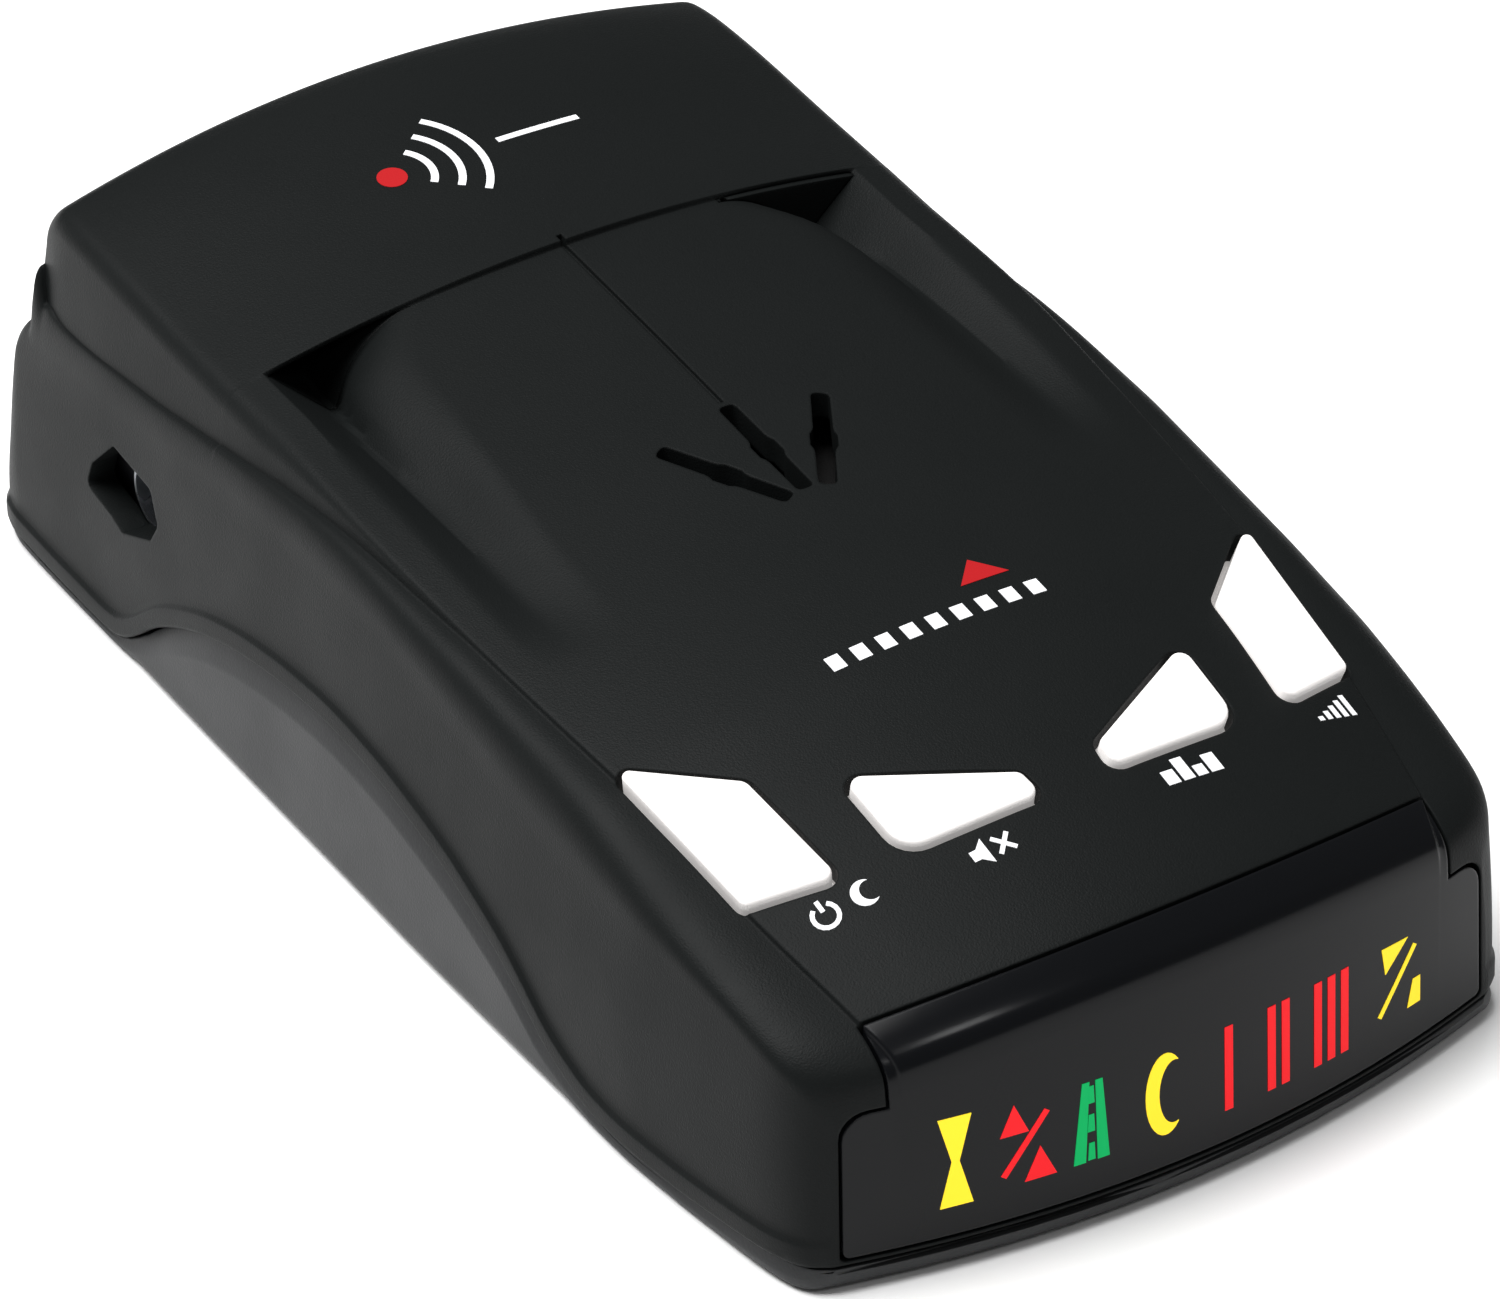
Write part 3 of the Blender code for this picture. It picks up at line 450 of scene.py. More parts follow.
def shell_recipes(tones):
    """Finishes of the pieces that a hand touches."""
    return {
        # Soft-feel paint sprayed on ABS: fine even grain, low broad sheen.
        "case_paint": dict(
            colour=tones.cover, rough=0.46, grain=0.16, bump=0.035, mottle=0.22, wear=0.04, edge=0.3,
            Specular_IOR_Level=0.07,
        ),
        # Spark-eroded ABS, unpainted: a shade lighter and a little coarser.
        "case_shell": dict(
            colour=tones.case, rough=0.5, grain=0.22, bump=0.03, mottle=0.16, wear=0.05, edge=0.25,
            Specular_IOR_Level=0.22,
        ),
        # Smoked acrylic: nearly black, smoother than the paint round it.
        "smoked_lens": dict(
            colour=tones.lens, rough=0.2, grain=3.0, wear=0.04, edge=0.25, Specular_IOR_Level=0.14,
        ),
        # Translucent white ABS caps; their emission is a painted glow that makes them brighter than the lamps
        # alone light them.
        "key_cap": dict(
            colour=tones.keys, rough=0.38, grain=0.3, bump=0.01, mottle=0.01,
            # Painted glow: this emission lifts the caps towards white.
            Emission_Color=(1, 0.97, 0.95, 1), Emission_Strength=0.25,
        ),
        "white_ink": printed_ink("#EDEEF0", 0.2),
        "red_ink": printed_ink("#A81A1E", 0.1),
        "yellow_legend": lit_legend("#FFE030"),
        "red_legend": lit_legend("#E81E25"),
        "green_legend": lit_legend("#00A558"),
        # Glass-filled nylon: dull black with a faint fibre grain.
        "moulded_black": dict(colour=linear("#17171B"), rough=0.45, grain=0.25, bump=0.02, mottle=0.2),
        # Blank brushed foil plate.
        "label_foil": dict(colour=linear("#C9CBCD"), rough=0.4, metal=0.6, grain=0.4, bump=0.004, wear=0.05),
    }


def inner_recipes():
    """Finishes of what the case holds."""
    return {
        # Solder mask over copper: glossy green with the weave just showing.
        "circuit_board": dict(colour=linear("#1F5B35"), rough=0.3, grain=0.6, bump=0.01, mottle=0.2),
        # Radio board without a mask: dull amber glass laminate.
        "rf_laminate": dict(colour=linear("#7A6A3A"), rough=0.45, grain=0.5, bump=0.01, mottle=0.15),
        # Bright zinc plate on steel.
        "screw_steel": dict(
            colour=linear("#B9BCC0"), rough=0.28, metal=1.0, grain=0.3, bump=0.004, wear=0.08,
        ),
        # Zinc die casting: grey, slightly orange-peeled skin.
        "cast_zinc": dict(colour=linear("#9A9DA1"), rough=0.42, metal=1.0, grain=0.5, bump=0.02, wear=0.08),
        # Shrunk vinyl sleeve of a capacitor: smooth and even.
        "capacitor_sleeve": dict(colour=linear("#243A66"), rough=0.3, grain=0.5, mottle=0.05),
        # White ABS of the light baffle: reflective, fine moulded skin.
        "baffle_white": dict(colour=linear("#E8E6E2"), rough=0.5, grain=0.3, bump=0.01, mottle=0.03),
        # Closed-cell foam: fine open pits on its cut faces.
        "foam_gasket": dict(colour=linear("#1A1A1C"), rough=0.9, grain=0.4, bump=0.1, mottle=0.3),
        # Pressed paper pulp cone: soft fibrous surface.
        "cone_paper": dict(colour=linear("#0C0B0B"), rough=0.85, grain=0.5, bump=0.05, mottle=0.25),
        "lamp_yellow": lamp_resin("#D8B818"),
        "lamp_red": lamp_resin("#B81D22"),
        "lamp_green": lamp_resin("#0B8A4C"),
    }


def finish(name):
    """The material of one finish, made the first time it is asked for."""
    if name not in FINISHES:
        recipes = {**shell_recipes(bpy.context.scene.detector_colours), **inner_recipes()}
        FINISHES[name] = surface_of(name, **recipes[name])
    return FINISHES[name]


# ---------------------------------------------------------------- case bodies
def stations(low=-64.0, high=64.0):
    """Places along the length: close together where the outline turns."""
    near = [0, 0.03, 0.08, 0.16, 0.28, 0.42, 0.6, 0.82, 1.1, 1.5, 2.0, 2.6, 3.3, 4.1, 5.0]
    every = [-64 + v for v in near] + list(np.arange(-58.0, 22.6, 1.0))
    every += [22.8, LIP - 0.2, LIP - 0.06, LIP + 0.06, LIP + 0.14, LIP + 0.3, LIP + 0.6, LIP + 1.2]
    every += list(np.arange(26.0, 50.5, 1.5)) + list(np.arange(51.2, 61.0, 0.3))
    every += [64 - v for v in near[:11]][::-1]
    return [y for y in sorted(set(every)) if low <= y <= high]


def side_x(y, z, low, shoulder):
    """Half width of the drafted and slightly bowed side wall at height z."""
    bow = math.sin(math.pi * min(max((z - low) / max(shoulder - low, 0.1), 0), 1))
    return half_width(y) - DRAFT * z + 0.3 * bow


def cover_chain(y, sizes):
    """One cross-section of the cover, centre line to seam, as (x, z) rows.

    Also gives how many of those rows lie above its side wall."""
    edge, shoulder, base = crown_edge(y), shoulder_height(y), underside(y)
    drop = min(crown_wall(y), (float(top_z(edge, y)) - shoulder) * 0.8)
    fillet = min(sizes.crown_fillet / MM, 0.6 * drop)
    slope = math.atan(2 * (hood_crown(y) if y >= LIP else deck_crown(y)) * edge)
    start = edge - fillet + fillet * math.sin(slope)
    spans = np.linspace(0, 12, 14, False), np.linspace(12, 22.6, 36, False), np.linspace(22.6, start, 14)
    across = np.concatenate(spans)
    rows = [(x, float(z)) for x, z in zip(across, top_z(across, y))]
    centre = rows[-1][1] - fillet * math.cos(slope)
    for a in np.linspace(slope, math.radians(86), 7)[1:]:
        rows.append((edge - fillet + fillet * math.sin(a), centre + fillet * math.cos(a)))
    foot = (edge + 0.05 * drop + 0.1, float(top_z(edge, y)) - drop)
    rows.append(foot)
    side = side_x(y, shoulder, base, shoulder)
    for a in np.linspace(0, math.pi / 2, 13)[1:]:
        x = foot[0] + (side - foot[0]) * math.sin(a) ** 0.7
        rows.append((x, shoulder + (foot[1] - shoulder) * math.cos(a) ** 0.7))
    above = len(rows)
    line = seam(y) + SEAM_HALF
    height_left = shoulder - line
    share = min(1.0, height_left / 6.0)
    width = sizes.bead_width / MM * share
    height = sizes.bead_height / MM * share
    offsets = [width + 0.7, width + 0.35, width, width - 0.25, width * 0.5, 0.35, 0.12, 0.0]
    levels = list(np.linspace(height_left, (width + 0.7) * share + 0.4 * share, 10)[1:])
    levels += [v * share for v in offsets]
    for d in levels:
        z = line + d
        proud = height * float(ease((width + 0.5 - d) / 0.6)) - 0.25 * share * float(ease((0.3 - d) / 0.3))
        rows.append((side_x(y, z, base, shoulder) + proud, z))
    return rows, above


def cover_body(name, ys, sizes):
    """The cover as one closed solid down to the seam."""
    chains = []
    for y in ys:
        rows, above = cover_chain(y, sizes)
        floor = [(x, rows[-1][1]) for x, _ in rows[1:above]]
        ring = rows + floor[::-1] + [(0, rows[-1][1])]
        ring += [(-x, z) for x, z in floor] + [(-x, z) for x, z in rows[:0:-1]]
        chains.append([place(x, y, z) for x, z in ring])
        half, count = len(rows), len(ring)
    points = [point for ring in chains for point in ring]
    faces = ring_faces(count, len(ys))
    for start in (0, (len(ys) - 1) * count):
        # Upright strips close each end, so that it follows the bend.
        for j in range(above - 1):
            low = half + above - 1 - j
            strip = (start + j, start + j + 1, start + low - 1, start + low)
            faces.append(strip)
            faces.append(tuple(start + (count - (v - start)) % count for v in strip))
        wall = tuple(range(start + above - 1, start + half + 1))
        faces.append(wall)
        faces.append(tuple(start + (count - (v - start)) % count for v in wall))
    return solid(name, points, faces)


def case_body(name, ys, sizes):
    """The lower case as one closed solid up to the seam, with its cove."""
    points = []
    for y in ys:
        base, shoulder = underside(y), shoulder_height(y)
        line = seam(y) - SEAM_HALF
        height_left = line - base
        share = min(1.0, height_left / 5.0)
        radius = min(1.3, 0.45 * height_left)
        cove = sizes.cove_width / MM * share
        deep = sizes.cove_depth / MM * share
        rows = [(x, line) for x in np.linspace(0, half_width(y) - 4, 8)]
        levels = [0.0, 0.1, 0.3, cove * 0.4, cove * 0.7, cove * 0.9, cove, cove * 1.08, cove * 1.3]
        levels = [min(v, height_left - radius) for v in levels]
        levels += list(np.linspace(levels[-1], height_left - radius, 8)[1:])
        for d in levels:
            z = line - d
            inset = deep * (1 - min(d / max(cove, 0.01), 1.0))
            rows.append((side_x(y, z, base, shoulder) - inset, z))
        side = side_x(y, base + radius, base, shoulder)
        for a in np.linspace(0, math.pi / 2, 7)[1:]:
            rows.append((side - radius + radius * math.cos(a), base + radius - radius * math.sin(a)))
        rows += [(x, base) for x in np.linspace(half_width(y) - 4, 0, 8)]
        ring = rows + [(-x, z) for x, z in rows[-2:0:-1]]
        points.append([place(x, y, z) for x, z in ring])
    return stack(name, points)


def room(name):
    """The space inside the case, one wall in from its skin."""
    rings = []
    for y in (-60.2, -58.5, -54, -47, -38, -29, -19, -10, 0, 8, 12, 18, 26, 34, 42, 50, 52.4, 53.2, 54.7):
        side, shoulder = half_width(y) - WALL, shoulder_height(y) - 1.2
        roof = WALL + 1.5 * float(ease((-54 - y) / 5))
        spans = (0, 9, 17, 24)
        sunk = channel_depth(min(y, 22)) if y < 30 else 0
        high = [float(top_z(x, y, False)) - roof - sunk * float(ease((x - 9) / 8)) for x in spans]
        if y > 53:
            high, shoulder = [16.5] * 4, 15
        edge = max(min(crown_edge(y) - WALL - 0.6, side - 1.2), 24.5)
        top = min(high[-1] - 0.6, float(top_z(edge, y)) - roof - 0.8)
        right = list(zip(spans, high)) + [(edge, top)]
        right += [(side - DRAFT * shoulder, min(shoulder, top - 0.8)), (side - 0.1, 3.4), (side - 1.1, 2.0)]
        ring = right + [(-x, z) for x, z in right[:0:-1]]
        rings.append([place(x, y, z) for x, z in ring])
    return stack(name, rings)


def floor_plate(name, grow, low, high):
    """Flat floor inside the walls, the part of the lower case that the seam hides."""
    side = []
    for y in (-60.4, -56, -48, -36, -18, 0, 18, 36, 50, 58, 60.6):
        past = grow if y > 50 else -grow if y < -58 else 0
        side.append((half_width(y) - 1.5 - GAP + grow, y + past))
    outline = side + [(-x, y) for x, y in reversed(side)]
    return stack(name, [[place(x, y, 0)[:2] + (z,) for x, y in outline] for z in (low, high)])


def lens_block(name, grow, back):
    """The lens's stepped outline, run back to the bent rear edge of its top strip."""
    low, step = LENS_LOW - grow, LENS_STEP + grow
    wide, narrow = LENS_WIDE + grow, LENS_NARROW + grow
    lower = [(0, low, 0), (wide, low, 0.5), (wide - 0.25, step, 2.2), (0, step, 0)]
    blocks = []
    for profile in (rounded(lower)[1:-1], [(narrow, low + 1), (narrow, 34)]):
        rings = []
        for half, z in profile:
            rear = [(x, back + bend(x, back), z) for x in np.linspace(half, -half, 33)]
            rings.append([(-half, -72, z), (half, -72, z)] + rear)
        blocks.append(stack(name, rings))
    boolean(blocks[0], blocks[1], "UNION")
    return blocks[0]


# ---------------------------------------------------------------- keys
def key_plane(corners):
    """Best plane through the deck under a key: (point, normal)."""
    spots = [on_top(x, y) for x, y, _ in corners]
    centre = sum(spots, Vector()) / len(spots)
    middle = on_top(centre.x, centre.y).z
    normal = Vector()
    for i, spot in enumerate(spots):
        normal += (spot - centre).cross(spots[(i + 1) % len(spots)] - centre)
    normal.normalize()
    if normal.z < 0:
        normal = -normal
    centre.z = (centre.z + middle) / 2
    return centre, normal


def key_prism(name, corners, side, layers):
    """A prism across the deck under a key: layers are (grow, height)."""
    centre, normal = key_plane(corners)
    outline = rounded(corners)
    rings = []
    for grow, height in layers:
        ring = []
        for x, y in grown(outline, grow):
            z = centre.z - ((x - centre.x) * normal.x + (y - centre.y) * normal.y) / normal.z
            spot = Vector((x, y, z)) + normal * height
            ring.append((spot.x * side, spot.y, spot.z))
        rings.append(ring)
    return stack(name, rings)


# ---------------------------------------------------------------- printed signs
def strip(points, width):
    """Outline of a line of even width through points."""
    left, right = [], []
    for i, (x, y) in enumerate(points):
        before = Vector(points[max(i - 1, 0)])
        after = Vector(points[min(i + 1, len(points) - 1)])
        along = (after - before).normalized()
        left.append((x - along.y * width / 2, y + along.x * width / 2))
        right.append((x + along.y * width / 2, y - along.x * width / 2))
    return left + right[::-1]


def arc(x, y, radius, start, end, steps=14):
    """Points of an arc, its angles in degrees."""
    turns = [math.radians(start + (end - start) * i / steps) for i in range(steps + 1)]
    return [(x + radius * math.cos(a), y + radius * math.sin(a)) for a in turns]


def crescent(wide, high):
    """Outline of a moon with its tips on the right, wide and high from its middle."""
    opening, shift = 50, 0.45
    outer = [(wide * u, high * v) for u, v in arc(0, 0, 1, opening, 360 - opening, 24)]
    tip = Vector((math.cos(math.radians(opening)) - shift, math.sin(math.radians(opening))))
    lean = math.degrees(math.atan2(tip.y, tip.x))
    inner = [(wide * u, high * v) for u, v in arc(shift, 0, tip.length * 0.98, 360 - lean, lean, 20)]
    return outer + inner


def printed(name, outlines, put, surface, slot):
    """Thin ink shapes laid on a surface: put turns (u, v, lift) into a point."""
    points, faces = [], []
    for outline in outlines:
        fine = []
        for i, (u, v) in enumerate(outline):
            s, t = outline[(i + 1) % len(outline)]
            parts = max(1, math.ceil(math.hypot(s - u, t - v) / 1.2))
            fine += [(u + (s - u) * k / parts, v + (t - v) * k / parts) for k in range(parts)]
        first, count = len(points), len(fine)
        points += [put(u, v, -INK_DEPTH) for u, v in fine] + [put(u, v, INK) for u, v in fine]
        faces.append(tuple(range(first, first + count)))
        faces.append(tuple(range(first + count, first + 2 * count)))
        for j in range(count):
            k = (j + 1) % count
            faces.append((first + j, first + k, first + count + k, first + count + j))
    made = solid(name, points, faces)
    return finish_piece(made, "case", surface, slot, sharp=50)


def bar_row(name, count, pitch, wide, high, rise, put, surface, slot):
    """A row of even or rising bars, laid on a surface by put."""
    tree = bpy.data.node_groups.new("bar_row", "GeometryNodeTree")
    values = {"Count": count, "Pitch": pitch, "Bar Width": wide, "Bar Height": high, "Rise": rise}
    for label in values:
        kind = "NodeSocketInt" if label == "Count" else "NodeSocketFloat"
        tree.interface.new_socket(label, in_out="INPUT", socket_type=kind)
    tree.interface.new_socket("Geometry", in_out="OUTPUT", socket_type="NodeSocketGeometry")
    given = tree.nodes.new("NodeGroupInput").outputs
    index = tree.nodes.new("GeometryNodeInputIndex").outputs[0]
    rises, wides, highs = given["Rise"], given["Bar Width"], given["Bar Height"]
    grow = add_node(tree, "ShaderNodeMath", {"operation": "MULTIPLY"}, {0: index, 1: rises})
    tall = add_node(tree, "ShaderNodeMath", {"operation": "ADD", 1: 1.0}, {0: grow.outputs[0]})
    lift = add_node(tree, "ShaderNodeMath", {"operation": "MULTIPLY"}, {0: highs, 1: rises})
    half = add_node(tree, "ShaderNodeMath", {"operation": "MULTIPLY", 1: 0.5}, {0: lift.outputs[0]})
    step = add_node(tree, "ShaderNodeCombineXYZ", links={"X": given["Pitch"], "Y": half.outputs[0]})
    size = add_node(tree, "ShaderNodeCombineXYZ", {"Z": 1.0}, {"X": wides, "Y": highs})
    scale = add_node(tree, "ShaderNodeCombineXYZ", {"X": 1.0, "Z": 1.0}, {"Y": tall.outputs[0]})
    line = add_node(tree, "GeometryNodeMeshLine", links={"Count": given["Count"], "Offset": step.outputs[0]})
    cube = add_node(tree, "GeometryNodeMeshCube", links={"Size": size.outputs[0]})
    bars = add_node(
        tree, "GeometryNodeInstanceOnPoints",
        links={"Points": line.outputs[0], "Instance": cube.outputs[0], "Scale": scale.outputs[0]},
    )
    real = add_node(tree, "GeometryNodeRealizeInstances", links={"Geometry": bars.outputs[0]})
    tinted = add_node(tree, "GeometryNodeSetMaterial", {"Material": surface}, {"Geometry": real.outputs[0]})
    add_node(tree, "NodeGroupOutput", links={"Geometry": tinted.outputs[0]})
    made = new_object(name, bpy.data.meshes.new(name))
    change = made.modifiers.new("bars", "NODES")
    change.node_group = tree
    for item in tree.interface.items_tree:
        if item.name in values:
            change[item.identifier] = values[item.name]
    graph = bpy.context.evaluated_depsgraph_get()
    mesh = bpy.data.meshes.new_from_object(made.evaluated_get(graph))
    made.modifiers.clear()
    made.data = mesh
    shift = (count - 1) * pitch / 2
    for point in mesh.vertices:
        u, v, top = point.co
        point.co = Vector(put(u - shift, v, INK if top > 0 else -INK_DEPTH)) * MM
    return finish_piece(made, "case", surface, slot, sharp=50)


def deck_spot(x, y):
    """A put function for signs round a point of the deck."""

    def put(u, v, lift):
        return on_top(x + u, y + v, lift)

    return put


def face_y(x, z):
    """Where the display face stands at (x, z)."""
    return place(x, -64.0, z)[1]


# ---------------------------------------------------------------- settings
class DetectorSizes(bpy.types.PropertyGroup):
    bead_width: bpy.props.FloatProperty(
        name="Bead width", description="Width of the raised bead above the seam", default=1.9 * MM,
        min=0.5 * MM, max=3 * MM, unit="LENGTH", precision=5)
    bead_height: bpy.props.FloatProperty(
        name="Bead height", description="How far the bead stands proud", default=0.4 * MM,
        min=0, max=1 * MM, unit="LENGTH", precision=5)
    cove_width: bpy.props.FloatProperty(
        name="Cove width", description="Width of the sloping band below the seam", default=2.4 * MM,
        min=0.5 * MM, max=4 * MM, unit="LENGTH", precision=5)
    cove_depth: bpy.props.FloatProperty(
        name="Cove depth", description="How far the band leans in at the seam", default=0.8 * MM,
        min=0, max=2 * MM, unit="LENGTH", precision=5)
    crown_fillet: bpy.props.FloatProperty(
        name="Crown fillet", description="Radius along the hood's and the dome's outer edges",
        default=1.9 * MM, min=0.3 * MM, max=4 * MM, unit="LENGTH", precision=5)
    key_proud: bpy.props.FloatProperty(
        name="Key height", description="How far the key caps stand above the deck", default=0.55 * MM,
        min=0, max=2 * MM, unit="LENGTH", precision=5)
    groove_width: bpy.props.FloatProperty(
        name="Groove width", description="Width of the groove down the middle of the dome", default=0.7 * MM,
        min=0.1 * MM, max=1.5 * MM, unit="LENGTH", precision=5)


class DetectorColours(bpy.types.PropertyGroup):
    cover: bpy.props.FloatVectorProperty(
        name="Cover", description="Paint of the cover", default=linear("#141616"), subtype="COLOR",
        min=0, max=1)
    case: bpy.props.FloatVectorProperty(
        name="Lower case", description="Plastic of the lower case", default=linear("#2B2C2D"),
        subtype="COLOR", min=0, max=1)
    lens: bpy.props.FloatVectorProperty(
        name="Lens", description="Tint of the display lens", default=linear("#0E0F11"), subtype="COLOR",
        min=0, max=1)
    keys: bpy.props.FloatVectorProperty(
        name="Keys", description="Plastic of the key caps", default=linear("#F4F0EE"), subtype="COLOR",
        min=0, max=1)


# ---------------------------------------------------------------- operators
class DETECTOR_OT_cover(bpy.types.Operator):
    """Build the painted cover with its hood, dome, slots and openings"""

    bl_idname = "detector.cover"
    bl_label = "Cover"

    def execute(self, context):
        sizes = context.scene.detector_sizes
        made = cover_body("painted_cover", stations(), sizes)
        boolean(made, floor_plate("cutter", GAP, -3, BASE_TOP + GAP))
        space = room("cutter")
        boolean(space, box("tray", (-15, 15), (38, 58), (26.2, 40)))
        boolean(made, space)
        boolean(made, lens_block("cutter", GAP, LENS_BACK + GAP))
        flare = [(0.45, -7), (0.45, 0.0), (0.65, 0.5), (0.65, 4)]
        tools = [key_prism("key_hole", corners, side, flare) for corners, side in KEYS.values()]
        tools += speaker_slots()
        tools.append(groove(sizes.groove_width / MM))
        socket = rounded([(y, z, 0.7) for y, z in SOCKET], 3)
        tools.append(stack("socket", [[(x, y, z) for y, z in socket] for x in (-45, -29.6)]))
        tools.append(box("window", (-8.0, 8.0), (50, 70), (3.1, 8.7)))
        tools.append(box("bracket_slot", (-SLOT_HALF, SLOT_HALF), (40, 60), (SLOT_LOW, SLOT_HIGH)))
        tools.append(box("release_hole", (-5.3, 5.3), (48, 60), (SLOT_LOW - 6.5, SLOT_LOW - 2.1)))
        tools.append(pockets())
        for tool in tools:
            boolean(made, tool)
        finish_piece(made, "case", finish("case_paint"), "case_paint", "upper_housing", sharp=28)
        return {"FINISHED"}


def speaker_slots():
    """Three slots that fan out over the speaker, each with a bulge."""
    tools = []
    for side in (-1, 0, 1):
        line = [(0, 0.3), (0, -11.0)] if side == 0 else [(7.4 * side, -1.7), (1.7 * side, -11.4)]
        start, end = Vector(line[0]), Vector(line[1])
        along = (end - start).normalized()
        across = Vector((-along.y, along.x))
        long = (end - start).length
        shape = [(0, 0.3), (0.12, 0.6), (0.4, 0.74)]
        shape += [(long * 0.38, 0.78), (long * 0.42, 0.86), (long * 0.46, 1.08)]
        shape += [(long * 0.58, 1.08), (long * 0.62, 0.86), (long * 0.66, 0.78)]
        shape += [(long - 0.4, 0.74), (long - 0.12, 0.6), (long, 0.3)]
        shape += [(a, -b) for a, b in reversed(shape)]
        outline = [start + along * a + across * b for a, b in shape]
        tools.append(stack("slot", [[(p.x, p.y, z) for p in outline] for z in (26, 40)]))
    return tools


def groove(width):
    """A cutter for the fine groove from the lip down to the middle slot."""
    rings = []
    for y in np.linspace(0.8, LIP + 0.8, 24):
        top, foot = deck(min(y, LIP)) + 1.5, deck(min(y, LIP)) - 0.4
        rings.append([(-width / 2, y, top), (width / 2, y, top), (width / 4, y, foot), (-width / 4, y, foot)])
    return stack("groove", rings)


def pockets():
    """Cutters that run the channels back under the hood's lip."""
    tools = []
    for side in (-1, 1):
        rings = []
        for y, share in ((LIP - 0.5, 1.0), (LIP + 2.0, 0.97), (LIP + 6.0, 0.8)):
            across = [22 + (x - 22) * share for x in np.linspace(14.2, 27.2, 27)]
            roof = [hood(LIP + 1) - hood_crown(LIP) * x * x - 0.45 for x in across]
            floor = [float(top_z(x, LIP - 0.1)) + 0.05 for x in np.linspace(14.2, 27.2, 27)]
            floor = [min(r - (r - f) * share, r - 0.05) for f, r in zip(floor, roof)]
            ring = list(zip(across, roof)) + list(zip(across, floor))[::-1]
            rings.append([(x * side, y, z) for x, z in ring])
        tools.append(stack("pocket", rings))
    return joined("pockets", tools)


class DETECTOR_OT_lower_case(bpy.types.Operator):
    """Build the moulded lower case with the cove under its seam"""

    bl_idname = "detector.lower_case"
    bl_label = "Lower case"

    def execute(self, context):
        made = case_body("moulded_case", stations(), context.scene.detector_sizes)
        boolean(made, room("cutter"))
        boolean(made, floor_plate("floor", 0, 0.5, BASE_TOP), "UNION")
        sunk = [(2.9, -1), (2.7, 0.3), (2.7, 1.3), (1.5, 1.3), (1.5, 5)]
        holes = [turned("hole", (x, y, 0), (0, 0, 1), sunk, 32) for x, y in SCREWS]
        holes.append(box("label_recess", (-15.3, 15.3), (-22.3, 6.3), (-2, 0.55)))
        boolean(made, joined("cutters", holes))
        finish_piece(made, "case", finish("case_shell"), "case_shell", "lower_housing", sharp=28)
        return {"FINISHED"}


class DETECTOR_OT_lens(bpy.types.Operator):
    """Build the smoked lens that wraps from the deck onto the display face"""

    bl_idname = "detector.lens"
    bl_label = "Display lens"

    def execute(self, context):
        sizes = context.scene.detector_sizes
        made = cover_body("smoked_lens", stations(-64, -50), sizes)
        boolean(made, lens_block("block", 0, LENS_BACK), "INTERSECT")
        rings = []
        for y in (-62, -61.4, -60.4, -59, -56, -50):
            side, top = half_width(y) - 5.2, float(top_z(0, y)) - 3.2
            corners = [(-side, 1), (side, 1), (side, top - 5)]
            corners += [(x, top - x * x * 0.0037) for x in np.linspace(side - 2, 2 - side, 14)]
            corners.append((-side, top - 5))
            rings.append([place(x, y, z) for x, z in corners])
        boolean(made, stack("core", rings))
        finish_piece(made, "case", finish("smoked_lens"), "smoked_lens", "display_lens", sharp=28)
        return {"FINISHED"}


class DETECTOR_OT_keys(bpy.types.Operator):
    """Build the four key caps with their soft edges and stems"""

    bl_idname = "detector.keys"
    bl_label = "Keys"

    def execute(self, context):
        proud = context.scene.detector_sizes.key_proud / MM
        for name, (corners, side) in KEYS.items():
            rim = [(1.0, -3.9), (1.0, -2.9), (0, -2.9), (0, proud - BROKEN_EDGE)]
            for a in np.linspace(0, math.pi / 2, 6)[1:]:
                inset = BROKEN_EDGE * math.cos(a) - BROKEN_EDGE
                rim.append((inset, proud - BROKEN_EDGE + BROKEN_EDGE * math.sin(a)))
            cap = key_prism(name.replace("_key", "_cap"), corners, side, rim)
            finish_piece(cap, name, finish("key_cap"), "key_cap", name, sharp=40)
        return {"FINISHED"}


class DETECTOR_OT_key_signs(bpy.types.Operator):
    """Print a small picture beside each key"""

    bl_idname = "detector.key_signs"
    bl_label = "Key signs"

    def execute(self, context):
        ink = finish("white_ink")
        power = [strip(arc(0, 0, 1.0, 125, 415), STROKE), strip([(0, 0.35), (0, 1.35)], STROKE)]
        moon = [(u + 3.4, v) for u, v in crescent(1.1, 1.1)]
        printed("power_sign", power + [moon], deck_spot(-22.6, -47.6), ink, "key_cap")
        horn = [[(-1.5, -0.45), (-0.9, -0.45), (-0.1, -1.15), (-0.1, 1.15), (-0.9, 0.45), (-1.5, 0.45)]]
        lines = [[(0.6, -0.75), (2.0, 0.75)], [(0.6, 0.75), (1.2, 0.11)], [(1.4, -0.11), (2.0, -0.75)]]
        cross = [strip(line, STROKE) for line in lines]
        printed("quiet_sign", horn + cross, deck_spot(-9.4, -49.2), ink, "key_cap")
        towers = ((-2.4, 1.1, 0.3), (-1.0, 1.0, 1.1), (0.3, 0.9, 0.0), (1.5, 1.1, 0.7))
        blocks = [[(u, -1.0), (u + w, -1.0), (u + w, h), (u, h)] for u, w, h in towers]
        printed("city_sign", blocks, deck_spot(8.6, -49.0), ink, "key_cap")
        bar_row("volume_sign", 5, 0.75, 0.45, 0.4, 1.0, deck_spot(23.4, -47.7), ink, "key_cap")
        return {"FINISHED"}


